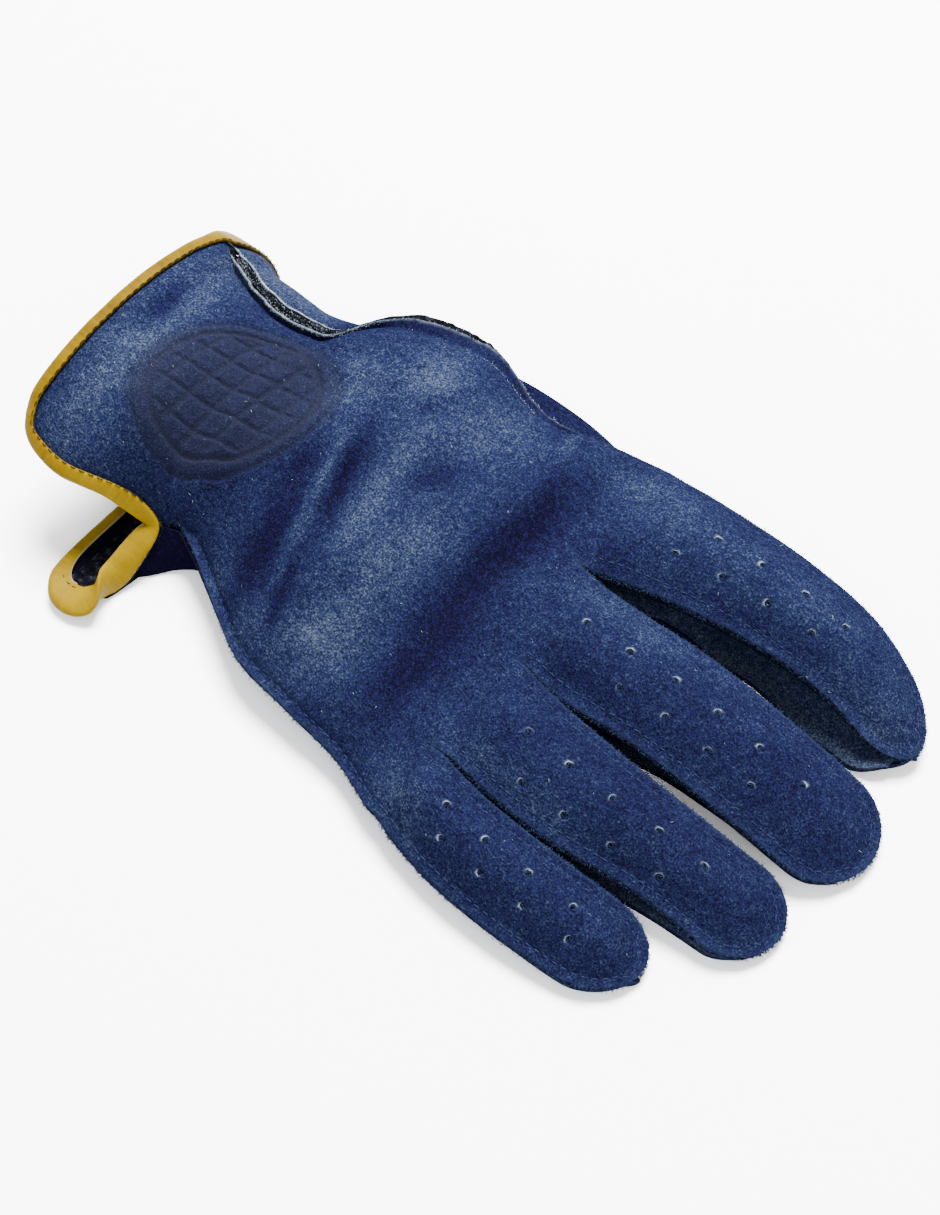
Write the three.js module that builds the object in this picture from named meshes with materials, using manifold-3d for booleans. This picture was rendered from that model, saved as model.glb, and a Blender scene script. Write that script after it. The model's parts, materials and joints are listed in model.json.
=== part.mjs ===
// A right-hand suede racing glove lying palm down, in millimetres, +Z up.
// +X points to the fingertips, +Y to the thumb's side, -Y to the little finger's side.
// The thumb is folded under the palm. The wrist and every finger are hollow.

import * as THREE from "three";
import { mergeVertices } from "three/addons/utils/BufferGeometryUtils.js";
import Module from "manifold-3d";

const wasm = await Module();
wasm.setup();

// Stock
const LEATHER = 1.4;
const LINING = 0.8;
const GAP = 0.4; // between pieces that are sewn together
const BRIM = 2.5; // seam allowance that stands out beyond the stitches
const WRIST_BRIM = 3.0; // raw edges of the wrist's outseam
const WELT = 1.6; // fleece strip between the two raw edges
const PERFORATION = { radius: 1.1, sides: 6, pitch: 12.6, depth: 6 };
const TUCK = 0.3; // how far an edge without a brim turns in

// Places along the glove
const CUFF_X = -120.6;
const FORK_X = 16;
const SIDE_X = 14; // where the two outer sides pass from the hand to a finger
const NOTCH_X = -81.0; // apex of the slit at the side of the wrist
const WELT_END_X = -14;

// The back's two seamed edges and the crown between them. Tilts are the seam allowance's
// slope in degrees: up is positive.
const HAND = table(
  ["x", "ulnarY", "ulnarZ", "radialY", "radialZ", "crown", "ulnarTilt", "radialTilt"],
  [-120, -37.5, 31.5, 36, 39, 11, 45, 45],
  [-115, -40.2, 30.8, 34.5, 40, 11.5, 45, 55],
  [-109, -41.7, 29.8, 32.6, 41.2, 12, 43, 63],
  [-103, -41.7, 28.7, 30.4, 41.8, 12, 42, 70],
  [-97, -39.5, 27.2, 28.8, 42, 12.3, 40, 72],
  [-92, -36.2, 23.8, 28, 41.3, 12.8, 38, 72],
  [-88, -33.2, 19, 28.1, 40.5, 13.2, 36, 71],
  [-81.5, -30.6, 13.5, 29, 38.8, 13.8, 35, 68],
  [-76, -29, 15, 32.5, 37.4, 14, 28, 62],
  [-68, -31.6, 15, 43.5, 36, 14, 18, 38],
  [-59, -35.8, 14, 51.8, 36, 13.4, 8, 18],
  [-49, -41.2, 13.6, 56.2, 35.7, 13, -2, 4],
  [-40, -45, 12.6, 57, 35, 13, -8, -5],
  [-20, -47.5, 11, 54, 30, 12, -12, -20],
  [0, -50.5, 9, 58.5, 28, 11, -10, -28],
  [16, -55, 9, 64, 25, 9, -10, -32],
);

// Where the three slits between the fingers start
const FORKS = [
  { x: 16, y: -34.8 },
  { x: 20, y: -6.2 },
  { x: 13.5, y: 22.8 },
];

// Each finger's two edges, little finger to index: low is the little finger's side.
// The last row is the tip.
const FINGERS = [
  {
    name: "little", tip: 13, tiltLow: -10, tiltHigh: 0, rows: [
      { x: 14, low: -54.5, high: -34.8, lowZ: 9, highZ: 21, crown: 6 },
      { x: 36, low: -59.3, high: -37.4, lowZ: 8, highZ: 18, crown: 7 },
      { x: 60, low: -59.3, high: -36.8, lowZ: 7, highZ: 15, crown: 7 },
      { x: 74, low: -56.5, high: -34.6, lowZ: 6, highZ: 11, crown: 6 },
      { x: 90, low: -53.2, high: -33.0, lowZ: 4.7, highZ: 4.7, crown: 5 },
    ],
  },
  {
    name: "ring", tip: 13, tiltLow: 0, tiltHigh: 0, rows: [
      { x: 18, low: -34.8, high: -6.2, lowZ: 21, highZ: 25, crown: 6 },
      { x: 37, low: -35.8, high: -8.0, lowZ: 19, highZ: 23, crown: 7 },
      { x: 55, low: -35.0, high: -6.8, lowZ: 17, highZ: 20, crown: 7 },
      { x: 78, low: -30.5, high: -5.4, lowZ: 12, highZ: 16, crown: 6 },
      { x: 109, low: -28.0, high: -4.5, lowZ: 4.5, highZ: 4.5, crown: 5 },
    ],
  },
  {
    name: "middle", tip: 14, tiltLow: 0, tiltHigh: 0, rows: [
      { x: 17, low: -6.2, high: 22.8, lowZ: 25, highZ: 28, crown: 6 },
      { x: 36, low: -7.0, high: 24.4, lowZ: 23, highZ: 25, crown: 7 },
      { x: 52, low: -3.4, high: 28.0, lowZ: 21, highZ: 22, crown: 7 },
      { x: 80, low: -3.4, high: 30.4, lowZ: 16, highZ: 17, crown: 6 },
      { x: 113.8, low: 1.8, high: 28.0, lowZ: 4.7, highZ: 4.7, crown: 5 },
    ],
  },
  {
    name: "index", tip: 13, tiltLow: 0, tiltHigh: -30, rows: [
      { x: 13.5, low: 22.8, high: 63.8, lowZ: 28, highZ: 25, crown: 6 },
      { x: 37, low: 32.3, high: 67.0, lowZ: 24, highZ: 22, crown: 7 },
      { x: 57, low: 37.6, high: 67.5, lowZ: 20, highZ: 20, crown: 7 },
      { x: 80, low: 39.8, high: 63.8, lowZ: 16, highZ: 16, crown: 6 },
      { x: 106, low: 39.0, high: 55.0, lowZ: 7, highZ: 7, crown: 5 },
    ],
  },
];

// The palm's free tongue beside the slit, from its tip towards the slit's apex
const TONGUE = [
  { x: -97, y: -59.6, z: 3.0 },
  { x: -91, y: -59.4, z: 2.6 },
  { x: -88.3, y: -57.0, z: 2.6 },
  { x: -86.1, y: -52.3, z: 2.8 },
  { x: -84.5, y: -46.8, z: 3.7 },
  { x: -83.2, y: -41.2, z: 5.2 },
  { x: -82.1, y: -36.2, z: 8.6 },
];
const TONGUE_INSET = 12; // from the tongue's edge to the flat floor
const APEX_REACH = 5; // length over which the tongue turns into the palm's side wall

// How the palm turns up: where its flat floor ends, and how far its sides bulge outwards
const PALM_SIDES = [
  { x: -125, ulnarInset: 5, radialFloor: 36, bulge: 24 },
  { x: -110, ulnarInset: 5, radialFloor: 37, bulge: 22 },
  { x: -95, ulnarInset: 5, radialFloor: 39, bulge: 23 },
  { x: -82, ulnarInset: 5, radialFloor: 41, bulge: 24 },
  { x: -68, ulnarInset: 6, radialFloor: 46, bulge: 16 },
  { x: -55, ulnarInset: 7, radialFloor: 51, bulge: 9 },
  { x: -38, ulnarInset: 7, radialFloor: 52.5, bulge: 7 },
  { x: -15, ulnarInset: 7, radialFloor: 49.5, bulge: 6 },
  { x: 16, ulnarInset: 7, radialFloor: 57, bulge: 6 },
];
const FINGER_INSET = { ulnar: 6, radial: 8, bulge: 5 };

// The palm's cuff edge: x against the column across the palm
const PALM_CUFF = [
  { at: -1, x: -91.5 },
  { at: -0.88, x: -94.0 },
  { at: -0.75, x: -95.6 },
  { at: -0.4, x: -97.0 },
  { at: 0, x: -97.8 },
  { at: 1.2, x: -99.3 },
  { at: 2.6, x: -104 },
  { at: 3.6, x: -111 },
  { at: 4.0, x: -114 },
  { at: 4.5, x: -119.5 },
  { at: 5.0, x: -120.6 },
];
const CUFF_RISE = { height: 1.9, fade: 12 }; // the palm's cuff edge rises over its binding

// The folded thumb's middle line, widths and heights
const THUMB = [
  { x: -78, y: 34, halfWidth: 4.5, height: 2.4 },
  { x: -68, y: 39, halfWidth: 7.0, height: 8.0 },
  { x: -60, y: 44, halfWidth: 13.0, height: 13.5 },
  { x: -47, y: 50, halfWidth: 16.5, height: 15.0 },
  { x: -28, y: 54, halfWidth: 17.0, height: 15.0 },
  { x: -8, y: 52.5, halfWidth: 15.5, height: 15.0 },
  { x: 10, y: 46, halfWidth: 13.5, height: 14.0 },
  { x: 24, y: 39.5, halfWidth: 11.5, height: 12.0 },
  { x: 32, y: 35.5, halfWidth: 7.0, height: 8.5 },
];
const THUMB_SIDES = 12;
const THUMB_LIFT = { reach: 15, fade: 17 }; // how the palm rises over the thumb
const THUMB_PORT = { x: -31, y: 45, halfLength: 14, halfWidth: 5, turn: -6, bottom: 6, top: 20 };

// Dents and swellings of the back: rise is negative for a dent, turn is from +X in degrees
const FOLDS = [
  { x: -80, y: -3, long: 22, wide: 17, turn: 50, rise: 1.6 }, // padded oval
  { x: -10, y: 17, long: 26, wide: 12, turn: 75, rise: 2.0 }, // swelling behind the knuckles
  { x: 3, y: 20, long: 40, wide: 6, turn: 80, rise: -2.2 }, // valley across the knuckles
  { x: -40, y: -2, long: 26, wide: 5, turn: 100, rise: -2.0 }, // crease below the wrist
  { x: -32, y: -20, long: 20, wide: 6, turn: 70, rise: 1.6 },
  { x: -58, y: 20, long: 16, wide: 6, turn: 35, rise: -1.8 },
  { x: -16, y: -34, long: 16, wide: 6, turn: 60, rise: -1.4 },
];

// Two staggered lines of holes on each finger: u is the place across, from -1 to 1
const PERFORATED = [
  { finger: 0, x: 32.5, count: 4, u: 0.2 },
  { finger: 0, x: 36.0, count: 4, u: -0.36 },
  { finger: 1, x: 36.7, count: 5, u: 0.08 },
  { finger: 1, x: 42.6, count: 4, u: -0.58 },
  { finger: 2, x: 29.0, count: 6, u: 0.12 },
  { finger: 2, x: 45.3, count: 4, u: -0.45 },
  { finger: 3, x: 37.5, count: 4, u: 0.15 },
  { finger: 3, x: 32.0, count: 4, u: -0.38 },
];

// The cuff's binding: a folded strip with a slot that holds the panels' edges. On each stretch
// depth is how far it covers the leather and nose how far it stands out beyond the edge.
const BINDING = { slot: 2.4, wall: 0.8, bottom: 0.6 };
const BOUND = {
  backCuff: { depth: 3.3, nose: 1.7 },
  backSlit: { depth: 3.0, nose: 1.8 },
  apex: { depth: 3.0, nose: 2.2 },
  tongueSide: { depth: 3.6, nose: 2.4 },
  tongueEnd: { depth: 4.0, nose: 1.9 },
  palmCuff: { depth: 3.4, nose: 1.7 },
};
const FOURCHETTE = { thickness: 1.2, bow: 0.8, forkTurn: 50, forkLip: 0.4, fingerWidth: 27 };
// Its stations along a finger, from the end near the tip to the one beside the fork
const FOURCHETTE_F = [0.84, 0.76, 0.66, 0.55, 0.44, 0.33, 0.22, 0.12];

const COLOURS = {
  suede: { color: "#27355a", roughness: 0.95, metalness: 0 },
  binding: { color: "#d9a21b", roughness: 0.5, metalness: 0 },
  fleece: { color: "#16171c", roughness: 1.0, metalness: 0 },
};

// Small maths

const { lerp, clamp, degToRad } = THREE.MathUtils;

// Rows of numbers under named columns
function table(names, ...rows) {
  return rows.map((row) => Object.fromEntries(names.map((name, i) => [name, row[i]])));
}

function ease(t) {
  const s = clamp(t, 0, 1);
  return s * s * (3 - 2 * s);
}

// A smooth curve through one column of a table
function along(table, key, at, by = "x") {
  const n = table.length;
  const s = clamp(at, table[0][by], table[n - 1][by]);
  let i = 0;
  while (i < n - 2 && s > table[i + 1][by]) i += 1;
  const step = (j) => table[j + 1][by] - table[j][by];
  const slope = (j) => (table[j + 1][key] - table[j][key]) / step(j);
  const tangent = (j) => {
    if (j === 0) return slope(0);
    if (j === n - 1) return slope(n - 2);
    return (slope(j) * step(j - 1) + slope(j - 1) * step(j)) / (step(j) + step(j - 1));
  };
  const h = step(i);
  const t = (s - table[i][by]) / h;
  const r = 1 - t;
  const start = table[i][key] * (1 + 2 * t) * r * r + tangent(i) * h * t * r * r;
  const end = table[i + 1][key] * t * t * (3 - 2 * t) - tangent(i + 1) * h * t * t * r;
  return start + end;
}

function bezier(p, t) {
  const curve = new THREE.CubicBezierCurve(p[0], p[1], p[2], p[3]);
  return curve.getPoint(t);
}

const flat = (y, z) => new THREE.Vector2(y, z);

// The hand's frame at one place along it: edges and roots of both seam allowances

// How much of the outseam shows: none under the cuff's binding or beside the slit's apex.
// The two panels part under the binding, so that the seam allowances start clear of each other.
const UNDER_BINDING = 5;
const radialShown = (x) => ease((x - CUFF_X - UNDER_BINDING) / 6);
const radialParted = (x) => ease((x - CUFF_X) / UNDER_BINDING);
const ulnarShown = (x) => ease((x - NOTCH_X - UNDER_BINDING) / 6);
const ulnarParted = (x) => ease((x - NOTCH_X) / UNDER_BINDING);

// slope is the edge's own slope along x: it widens the spread where the seam runs askew
function seam(edge, tiltDegrees, side, shown, brim, spread, slope = flat(0, 0)) {
  const tilt = degToRad(tiltDegrees);
  const out = flat(side * Math.cos(tilt), Math.sin(tilt));
  const down = flat(side * Math.sin(tilt), -Math.cos(tilt));
  const tuck = TUCK * (1 - shown);
  const slant = Math.hypot(1, slope.x * out.y - slope.y * out.x);
  const root = edge.clone().addScaledVector(out, -brim * shown).addScaledVector(down, -tuck);
  const palmRoot = root.clone().addScaledVector(down, spread * slant);
  const palmEdge = palmRoot.clone().addScaledVector(out, brim * shown).addScaledVector(down, -tuck);
  return { edge, root, palmRoot, palmEdge, down, slant };
}

function handEdge(side, x) {
  return flat(along(HAND, `${side}Y`, x), along(HAND, `${side}Z`, x));
}

const edgeSlope = (side, x) => handEdge(side, x + 0.5).sub(handEdge(side, x - 0.5));

const CLOSED_SPREAD = 2 * LEATHER + GAP;
const WELT_SPREAD = 2 * LEATHER + WELT + 3 * GAP;
const BARE_SPREAD = 1.5;

function radialFrame(x) {
  const welt = 1 - ease((x - WELT_END_X + 8) / 10);
  const brim = lerp(BRIM, WRIST_BRIM, welt);
  const full = lerp(CLOSED_SPREAD, WELT_SPREAD, welt);
  const spread = lerp(BARE_SPREAD, full, radialParted(x));
  const slope = edgeSlope("radial", x);
  const tilt = along(HAND, "radialTilt", x);
  return seam(handEdge("radial", x), tilt, 1, radialShown(x), brim, spread, slope);
}

function ulnarFrame(x) {
  const spread = lerp(BARE_SPREAD, CLOSED_SPREAD, ulnarParted(x));
  const slope = edgeSlope("ulnar", x);
  const tilt = along(HAND, "ulnarTilt", x);
  return seam(handEdge("ulnar", x), tilt, -1, ulnarShown(x), BRIM, spread, slope);
}

// Columns run across the hand from 0 at the little finger's side to 4 at the index's side.
// The seam allowances take the first and last tenth.
const BRIM_SHARE = 0.1;
const forkTable = [
  { at: BRIM_SHARE, x: SIDE_X, y: along(HAND, "ulnarY", SIDE_X) + BRIM },
  { at: 1, x: FORKS[0].x, y: FORKS[0].y },
  { at: 2, x: FORKS[1].x, y: FORKS[1].y },
  { at: 3, x: FORKS[2].x, y: FORKS[2].y },
  { at: 4 - BRIM_SHARE, x: SIDE_X, y: along(HAND, "radialY", SIDE_X) - BRIM },
];

function piecewise(table, key, at) {
  const s = clamp(at, table[0].at, table[table.length - 1].at);
  let i = 0;
  while (i < table.length - 2 && s > table[i + 1].at) i += 1;
  const t = (s - table[i].at) / (table[i + 1].at - table[i].at);
  return lerp(table[i][key], table[i + 1][key], t);
}

const forkX = (c) => piecewise(forkTable, "x", c);
const CUFF_CORNER = { depth: 5.5, width: 0.4 };
const cuffX = (c) => CUFF_X + CUFF_CORNER.depth * Math.max(0, 1 - c / CUFF_CORNER.width) ** 2;

// The share of the way from one root to the other
function shareAcross(c, x) {
  const even = (c - BRIM_SHARE) / (4 - 2 * BRIM_SHARE);
  const low = forkTable[0].y;
  const high = forkTable[4].y;
  const forked = (piecewise(forkTable, "y", c) - low) / (high - low);
  return clamp(lerp(even, forked, ease((x - CUFF_X) / (FORK_X - CUFF_X))), 0, 1);
}

function foldRise(x, y) {
  let rise = 0;
  for (const fold of FOLDS) {
    const turn = degToRad(fold.turn);
    const dx = x - fold.x;
    const dy = y - fold.y;
    const s = (dx * Math.cos(turn) + dy * Math.sin(turn)) / fold.long;
    const t = (dy * Math.cos(turn) - dx * Math.sin(turn)) / fold.wide;
    rise += fold.rise * Math.exp(-s * s - t * t);
  }
  return rise;
}

// The outer face of the back, at column c and place v from the cuff to the forks
function backPoint(c, v) {
  const x = lerp(cuffX(c), forkX(c), v);
  const low = ulnarFrame(x);
  const high = radialFrame(x);
  if (c < BRIM_SHARE) {
    const p = low.edge.clone().lerp(low.root, c / BRIM_SHARE);
    return new THREE.Vector3(x, p.x, p.y);
  }
  if (c > 4 - BRIM_SHARE) {
    const p = high.edge.clone().lerp(high.root, (4 - c) / BRIM_SHARE);
    return new THREE.Vector3(x, p.x, p.y);
  }
  const t = shareAcross(c, x);
  const p = low.root.clone().lerp(high.root, t);
  const arch = Math.sin(Math.PI * t) ** 0.6;
  const z = p.y + along(HAND, "crown", x) * arch + foldRise(x, p.x) * Math.min(1, 3 * arch);
  return new THREE.Vector3(x, p.x, z);
}

// One finger at one place: its middle, its half widths and how far into the tip it is
function fingerFrame(finger, x) {
  const { rows, tip } = finger;
  const end = rows[rows.length - 1].x;
  const low = along(rows, "low", x);
  const high = along(rows, "high", x);
  const q = 0.97 * clamp((x - end + tip) / tip, 0, 1);
  const inner = clamp((x - end + tip) / (tip - BRIM), 0, 1);
  const half = (high - low) / 2;
  const edge = half * Math.sqrt(1 - q * q);
  const root = clamp((half - BRIM) * Math.sqrt(1 - inner * inner), 0.45 * edge, 0.8 * edge);
  const tilt = 1 - ease((x - end + 2.2 * tip) / (1.4 * tip));
  return { middle: (low + high) / 2, half, edge, root, inner, tilt };
}

const BRIM_U = 2 * BRIM_SHARE;
const FORK_BLEND = 0.22; // share of a finger over which the hand's shape turns into its own

// The outer face of a finger's back: u runs from -1 to 1 across, f from 0 at the fork to 1
function fingerBack(k, u, f) {
  const finger = FINGERS[k];
  const c = k + (u + 1) / 2;
  const start = backPoint(c, 1);
  const end = finger.rows[finger.rows.length - 1].x;
  const x = lerp(start.x, end, f);
  const frame = fingerFrame(finger, x);
  const size = Math.abs(u);
  const reach = size > 1 - BRIM_U
    ? lerp(frame.root, frame.edge, (size - 1 + BRIM_U) / BRIM_U)
    : (frame.root * size) / (1 - BRIM_U);
  const offset = Math.sign(u) * reach;
  const share = (offset / frame.half + 1) / 2;
  const inLow = Math.min(BRIM, offset + frame.edge);
  const inHigh = Math.min(BRIM, frame.edge - offset);
  const steep = (tilt) => Math.tan(degToRad(tilt * frame.tilt));
  const low = along(finger.rows, "lowZ", x) - inLow * steep(finger.tiltLow);
  const high = along(finger.rows, "highZ", x) - inHigh * steep(finger.tiltHigh);
  const far = Math.hypot(offset / (frame.half - BRIM), frame.inner);
  const arch = Math.max(0, 1 - far ** 2.2) ** 0.7;
  const z = lerp(low, high, share) + along(finger.rows, "crown", x) * arch;
  const blend = ease(f / FORK_BLEND);
  const y = frame.middle + offset;
  return new THREE.Vector3(x, lerp(start.y, y, blend), lerp(start.z, z, blend));
}

// Palm

// The floor's height over the folded thumb
function palmLift(x, y) {
  let nearest = Infinity;
  let height = 0;
  for (let i = 2; i < THUMB.length - 2; i += 1) {
    const a = THUMB[i];
    const b = THUMB[i + 1];
    const dx = b.x - a.x;
    const dy = b.y - a.y;
    const t = clamp(((x - a.x) * dx + (y - a.y) * dy) / (dx * dx + dy * dy), 0, 1);
    const distance = Math.hypot(x - a.x - t * dx, y - a.y - t * dy);
    if (distance < nearest) {
      nearest = distance;
      height = lerp(a.height, b.height, t) + GAP;
    }
  }
  return height * (1 - ease((nearest - THUMB_LIFT.reach) / THUMB_LIFT.fade));
}

// One side of the palm, from its edge (w = 0) over the root to its flat floor (w = 1)
const ROOT_W = 0.25;

function sidePoint(edge, root, down, bulge, floor, side, w) {
  if (w < ROOT_W) return edge.clone().lerp(root, w / ROOT_W);
  const out = flat(side * bulge * 0.75, 0);
  const from = root.clone().addScaledVector(down, bulge);
  return bezier([root, from, floor.clone().add(out), floor], (w - ROOT_W) / (1 - ROOT_W));
}

const apex = ulnarFrame(NOTCH_X).palmEdge;
const tongueTable = [...TONGUE, { x: NOTCH_X, y: apex.x, z: apex.y }];

// rise is how far the floor stands up here, near the cuff's edge
function palmFrame(x, rise = 0) {
  const low = ulnarFrame(x);
  const high = radialFrame(x);
  const free = x < NOTCH_X;
  const sewn = ease((x - NOTCH_X + APEX_REACH) / APEX_REACH);
  const tongue = flat(along(tongueTable, "y", x), along(tongueTable, "z", x));
  const lowEdge = free ? tongue : low.palmEdge;
  const lowRoot = free ? tongue.clone().addScaledVector(low.down, TUCK) : low.palmRoot;
  const inset = lerp(TONGUE_INSET, along(PALM_SIDES, "ulnarInset", x), sewn);
  const lowFloor = flat(lowEdge.x + inset, rise);
  const highFloorY = along(PALM_SIDES, "radialFloor", x);
  const highFloor = flat(highFloorY, palmLift(x, highFloorY) + rise);
  return { low, high, lowEdge, lowRoot, lowFloor, highFloor, sewn };
}

// Palm columns: below 0 is the little finger's side, above 4 the index's side,
// both one unit deep, and 0 to 4 is the floor.
const palmForkX = (c) => forkX(clamp(c, BRIM_SHARE, 4 - BRIM_SHARE));
const palmCuffX = (c) => along(PALM_CUFF, "x", c, "at");

// The tongue's rounded tip takes its share of the length only
const TIP_V = 0.06;
function palmX(c, v) {
  const tip = c < 0 ? (palmCuffX(c) - palmCuffX(0)) * Math.max(0, 1 - v / TIP_V) : 0;
  return lerp(palmCuffX(Math.max(0, c)), palmForkX(c), v) + tip;
}

function palmPoint(c, v) {
  const cuff = palmCuffX(c);
  const x = palmX(c, v);
  const rise = CUFF_RISE.height * (1 - ease((x - cuff) / CUFF_RISE.fade));
  const frame = palmFrame(x, rise);
  if (c < 0) {
    const { lowEdge, lowRoot, lowFloor, low, sewn } = frame;
    const bulge = Math.min(0.35 * lowRoot.y, 5);
    const wall = sidePoint(lowEdge, lowRoot, low.down, bulge, lowFloor, -1, c + 1);
    const lip = flat(lerp(lowEdge.x, lowFloor.x, c + 1), lerp(lowEdge.y, rise, ease(c + 1)));
    const p = lip.lerp(wall, sewn);
    return new THREE.Vector3(x, p.x, p.y);
  }
  if (c > 4) {
    const bulge = along(PALM_SIDES, "bulge", x);
    const { palmEdge, palmRoot, down } = frame.high;
    const p = sidePoint(palmEdge, palmRoot, down, bulge, frame.highFloor, 1, 5 - c);
    return new THREE.Vector3(x, p.x, p.y);
  }
  const low = frame.lowFloor.x;
  const high = frame.highFloor.x;
  const even = c / 4;
  const forks = palmForkTable();
  const forked = (piecewise(forks, "y", c) - forks[0].y) / (forks[4].y - forks[0].y);
  const t = lerp(even, forked, ease((x - CUFF_X) / (FORK_X - CUFF_X)));
  const y = lerp(low, high, t);
  return new THREE.Vector3(x, y, palmLift(x, y) + rise);
}

function palmForkTable() {
  const frame = palmFrame(SIDE_X);
  return [
    { at: 0, y: frame.lowFloor.x },
    ...FORKS.map((fork, i) => ({ at: i + 1, y: fork.y })),
    { at: 4, y: frame.highFloor.x },
  ];
}

// The floor of a finger turns up to meet the back at the tip
const PALM_DROP = CLOSED_SPREAD; // outer face of the back to outer face of the palm

function fingerPalm(k, c, f) {
  const finger = FINGERS[k];
  const start = palmPoint(c, 1);
  const end = finger.rows[finger.rows.length - 1];
  const x = lerp(start.x, end.x, f);
  const frame = fingerFrame(finger, x);
  const squeeze = frame.edge / frame.half;
  const tipZ = Math.min(end.lowZ, end.highZ) - PALM_DROP;
  const turnUp = ease((x - end.x + finger.tip) / finger.tip);
  const floorZ = Math.max(0, tipZ) * turnUp + palmLift(x, frame.middle) * (1 - turnUp);
  const low = frame.middle - frame.half;
  const high = frame.middle + frame.half;
  let p;
  if (c < 0) {
    const edge = flat(low, along(finger.rows, "lowZ", x));
    const s = seam(edge, finger.tiltLow * frame.tilt, -1, 1, BRIM, CLOSED_SPREAD);
    const floor = flat(low + FINGER_INSET.ulnar, floorZ);
    p = sidePoint(s.palmEdge, s.palmRoot, s.down, 2, floor, -1, c + 1);
  } else if (c > 4) {
    const edge = flat(high, along(finger.rows, "highZ", x));
    const s = seam(edge, finger.tiltHigh * frame.tilt, 1, 1, BRIM, CLOSED_SPREAD);
    const floor = flat(high - FINGER_INSET.radial, floorZ);
    const bulge = FINGER_INSET.bulge * (1 - 0.7 * turnUp);
    p = sidePoint(s.palmEdge, s.palmRoot, s.down, bulge, floor, 1, 5 - c);
  } else {
    const from = k === 0 ? low + FINGER_INSET.ulnar : low;
    const to = k === 3 ? high - FINGER_INSET.radial : high;
    const y = lerp(from, to, c - k);
    const edgeRise = along(finger.rows, c - k < 0.5 ? "lowZ" : "highZ", x) - PALM_DROP;
    const nearEdge = Math.abs(2 * (c - k) - 1);
    const raised = lerp(floorZ, Math.max(floorZ, Math.min(edgeRise, floorZ + 2)), nearEdge * turnUp);
    p = flat(y, raised);
  }
  const y = frame.middle + (p.x - frame.middle) * squeeze;
  const blend = ease(f / FORK_BLEND);
  return new THREE.Vector3(x, lerp(start.y, y, blend), lerp(start.z, p.y, blend));
}

// Solids

// An edge point is pushed aside by both of its edges, so each takes a part of the room
const EDGE_ROOM = 0.6;

// Collects faces of one panel and closes it into a sheet of even thickness.
class Sheet {
  constructor(thickness) {
    this.thickness = thickness;
    this.points = [];
    this.faces = [];
    this.places = new Map();
  }

  vertex(p) {
    const key = [p.x, p.y, p.z].map((n) => Math.round(n * 1e4)).join();
    if (!this.places.has(key)) {
      this.places.set(key, this.points.length);
      this.points.push(p);
    }
    return this.places.get(key);
  }

  // rows of points; the faces look along (down the rows) x (across the columns), or back
  grid(rows, flip = false) {
    const ids = rows.map((row) => row.map((p) => this.vertex(p)));
    for (let i = 0; i < ids.length - 1; i += 1) {
      for (let j = 0; j < ids[i].length - 1; j += 1) {
        const quad = [ids[i][j], ids[i + 1][j], ids[i + 1][j + 1], ids[i][j + 1]];
        if (flip) quad.reverse();
        this.face(quad[0], quad[1], quad[2]);
        this.face(quad[0], quad[2], quad[3]);
      }
    }
    return this;
  }

  face(a, b, c) {
    if (a !== b && b !== c && c !== a) this.faces.push([a, b, c]);
  }

  normals() {
    const sums = this.points.map(() => new THREE.Vector3());
    for (const [a, b, c] of this.faces) {
      const ab = this.points[b].clone().sub(this.points[a]);
      const ac = this.points[c].clone().sub(this.points[a]);
      const n = ab.cross(ac);
      for (const id of [a, b, c]) sums[id].add(n);
    }
    return sums.map((n) => n.normalize());
  }

  // Rows of this sheet's own points, moved below its outer face
  under(rows, distance) {
    const normals = this.normals();
    return rows.map((row) => row.map((p) =>
      p.clone().addScaledVector(normals[this.vertex(p)], -distance)));
  }

  // The closed sheet, or with grow the room that it needs all round
  geometry(grow = 0) {
    const normals = this.normals();
    const n = this.points.length;
    const open = new Map();
    for (const [a, b, c] of this.faces) {
      for (const [from, to] of [[a, b], [b, c], [c, a]]) {
        if (open.has(`${to},${from}`)) open.delete(`${to},${from}`);
        else open.set(`${from},${to}`, [from, to]);
      }
    }
    const push = this.points.map(() => new THREE.Vector3());
    for (const [a, b] of open.values()) {
      const aside = this.points[b].clone().sub(this.points[a]).cross(normals[a]).normalize();
      push[a].addScaledVector(aside, EDGE_ROOM * grow);
      push[b].addScaledVector(aside, EDGE_ROOM * grow);
    }
    const layer = (depth) => this.points.map((p, i) =>
      p.clone().addScaledVector(normals[i], -depth).add(push[i]));
    const index = this.faces.flat();
    for (const [a, b, c] of this.faces) index.push(a + n, c + n, b + n);
    for (const [a, b] of open.values()) index.push(b, a, a + n, b, a + n, b + n);
    return fromPoints([...layer(-grow), ...layer(this.thickness + grow)], index);
  }
}

function fromPoints(points, index) {
  const geometry = new THREE.BufferGeometry().setFromPoints(points);
  geometry.setIndex(index);
  return geometry;
}

// A closed tube through equal rings of points, with flat ends or joined into a loop
function loft(rings, loop = false) {
  const sides = rings[0].length;
  const points = rings.flat();
  const index = [];
  const last = loop ? rings.length : rings.length - 1;
  for (let i = 0; i < last; i += 1) {
    const a = i * sides;
    const b = ((i + 1) % rings.length) * sides;
    for (let j = 0; j < sides; j += 1) {
      const k = (j + 1) % sides;
      index.push(a + j, b + k, a + k, a + j, b + j, b + k);
    }
  }
  if (!loop) {
    const end = (rings.length - 1) * sides;
    for (let j = 1; j < sides - 1; j += 1) {
      index.push(0, j, j + 1, end, end + j + 1, end + j);
    }
  }
  return fromPoints(points, index);
}

function solid(geometry) {
  const merged = mergeVertices(geometry, 1e-4);
  return new wasm.Manifold(
    new wasm.Mesh({
      numProp: 3,
      vertProperties: merged.attributes.position.array,
      triVerts: new Uint32Array(merged.index.array),
    }),
  );
}

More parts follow.
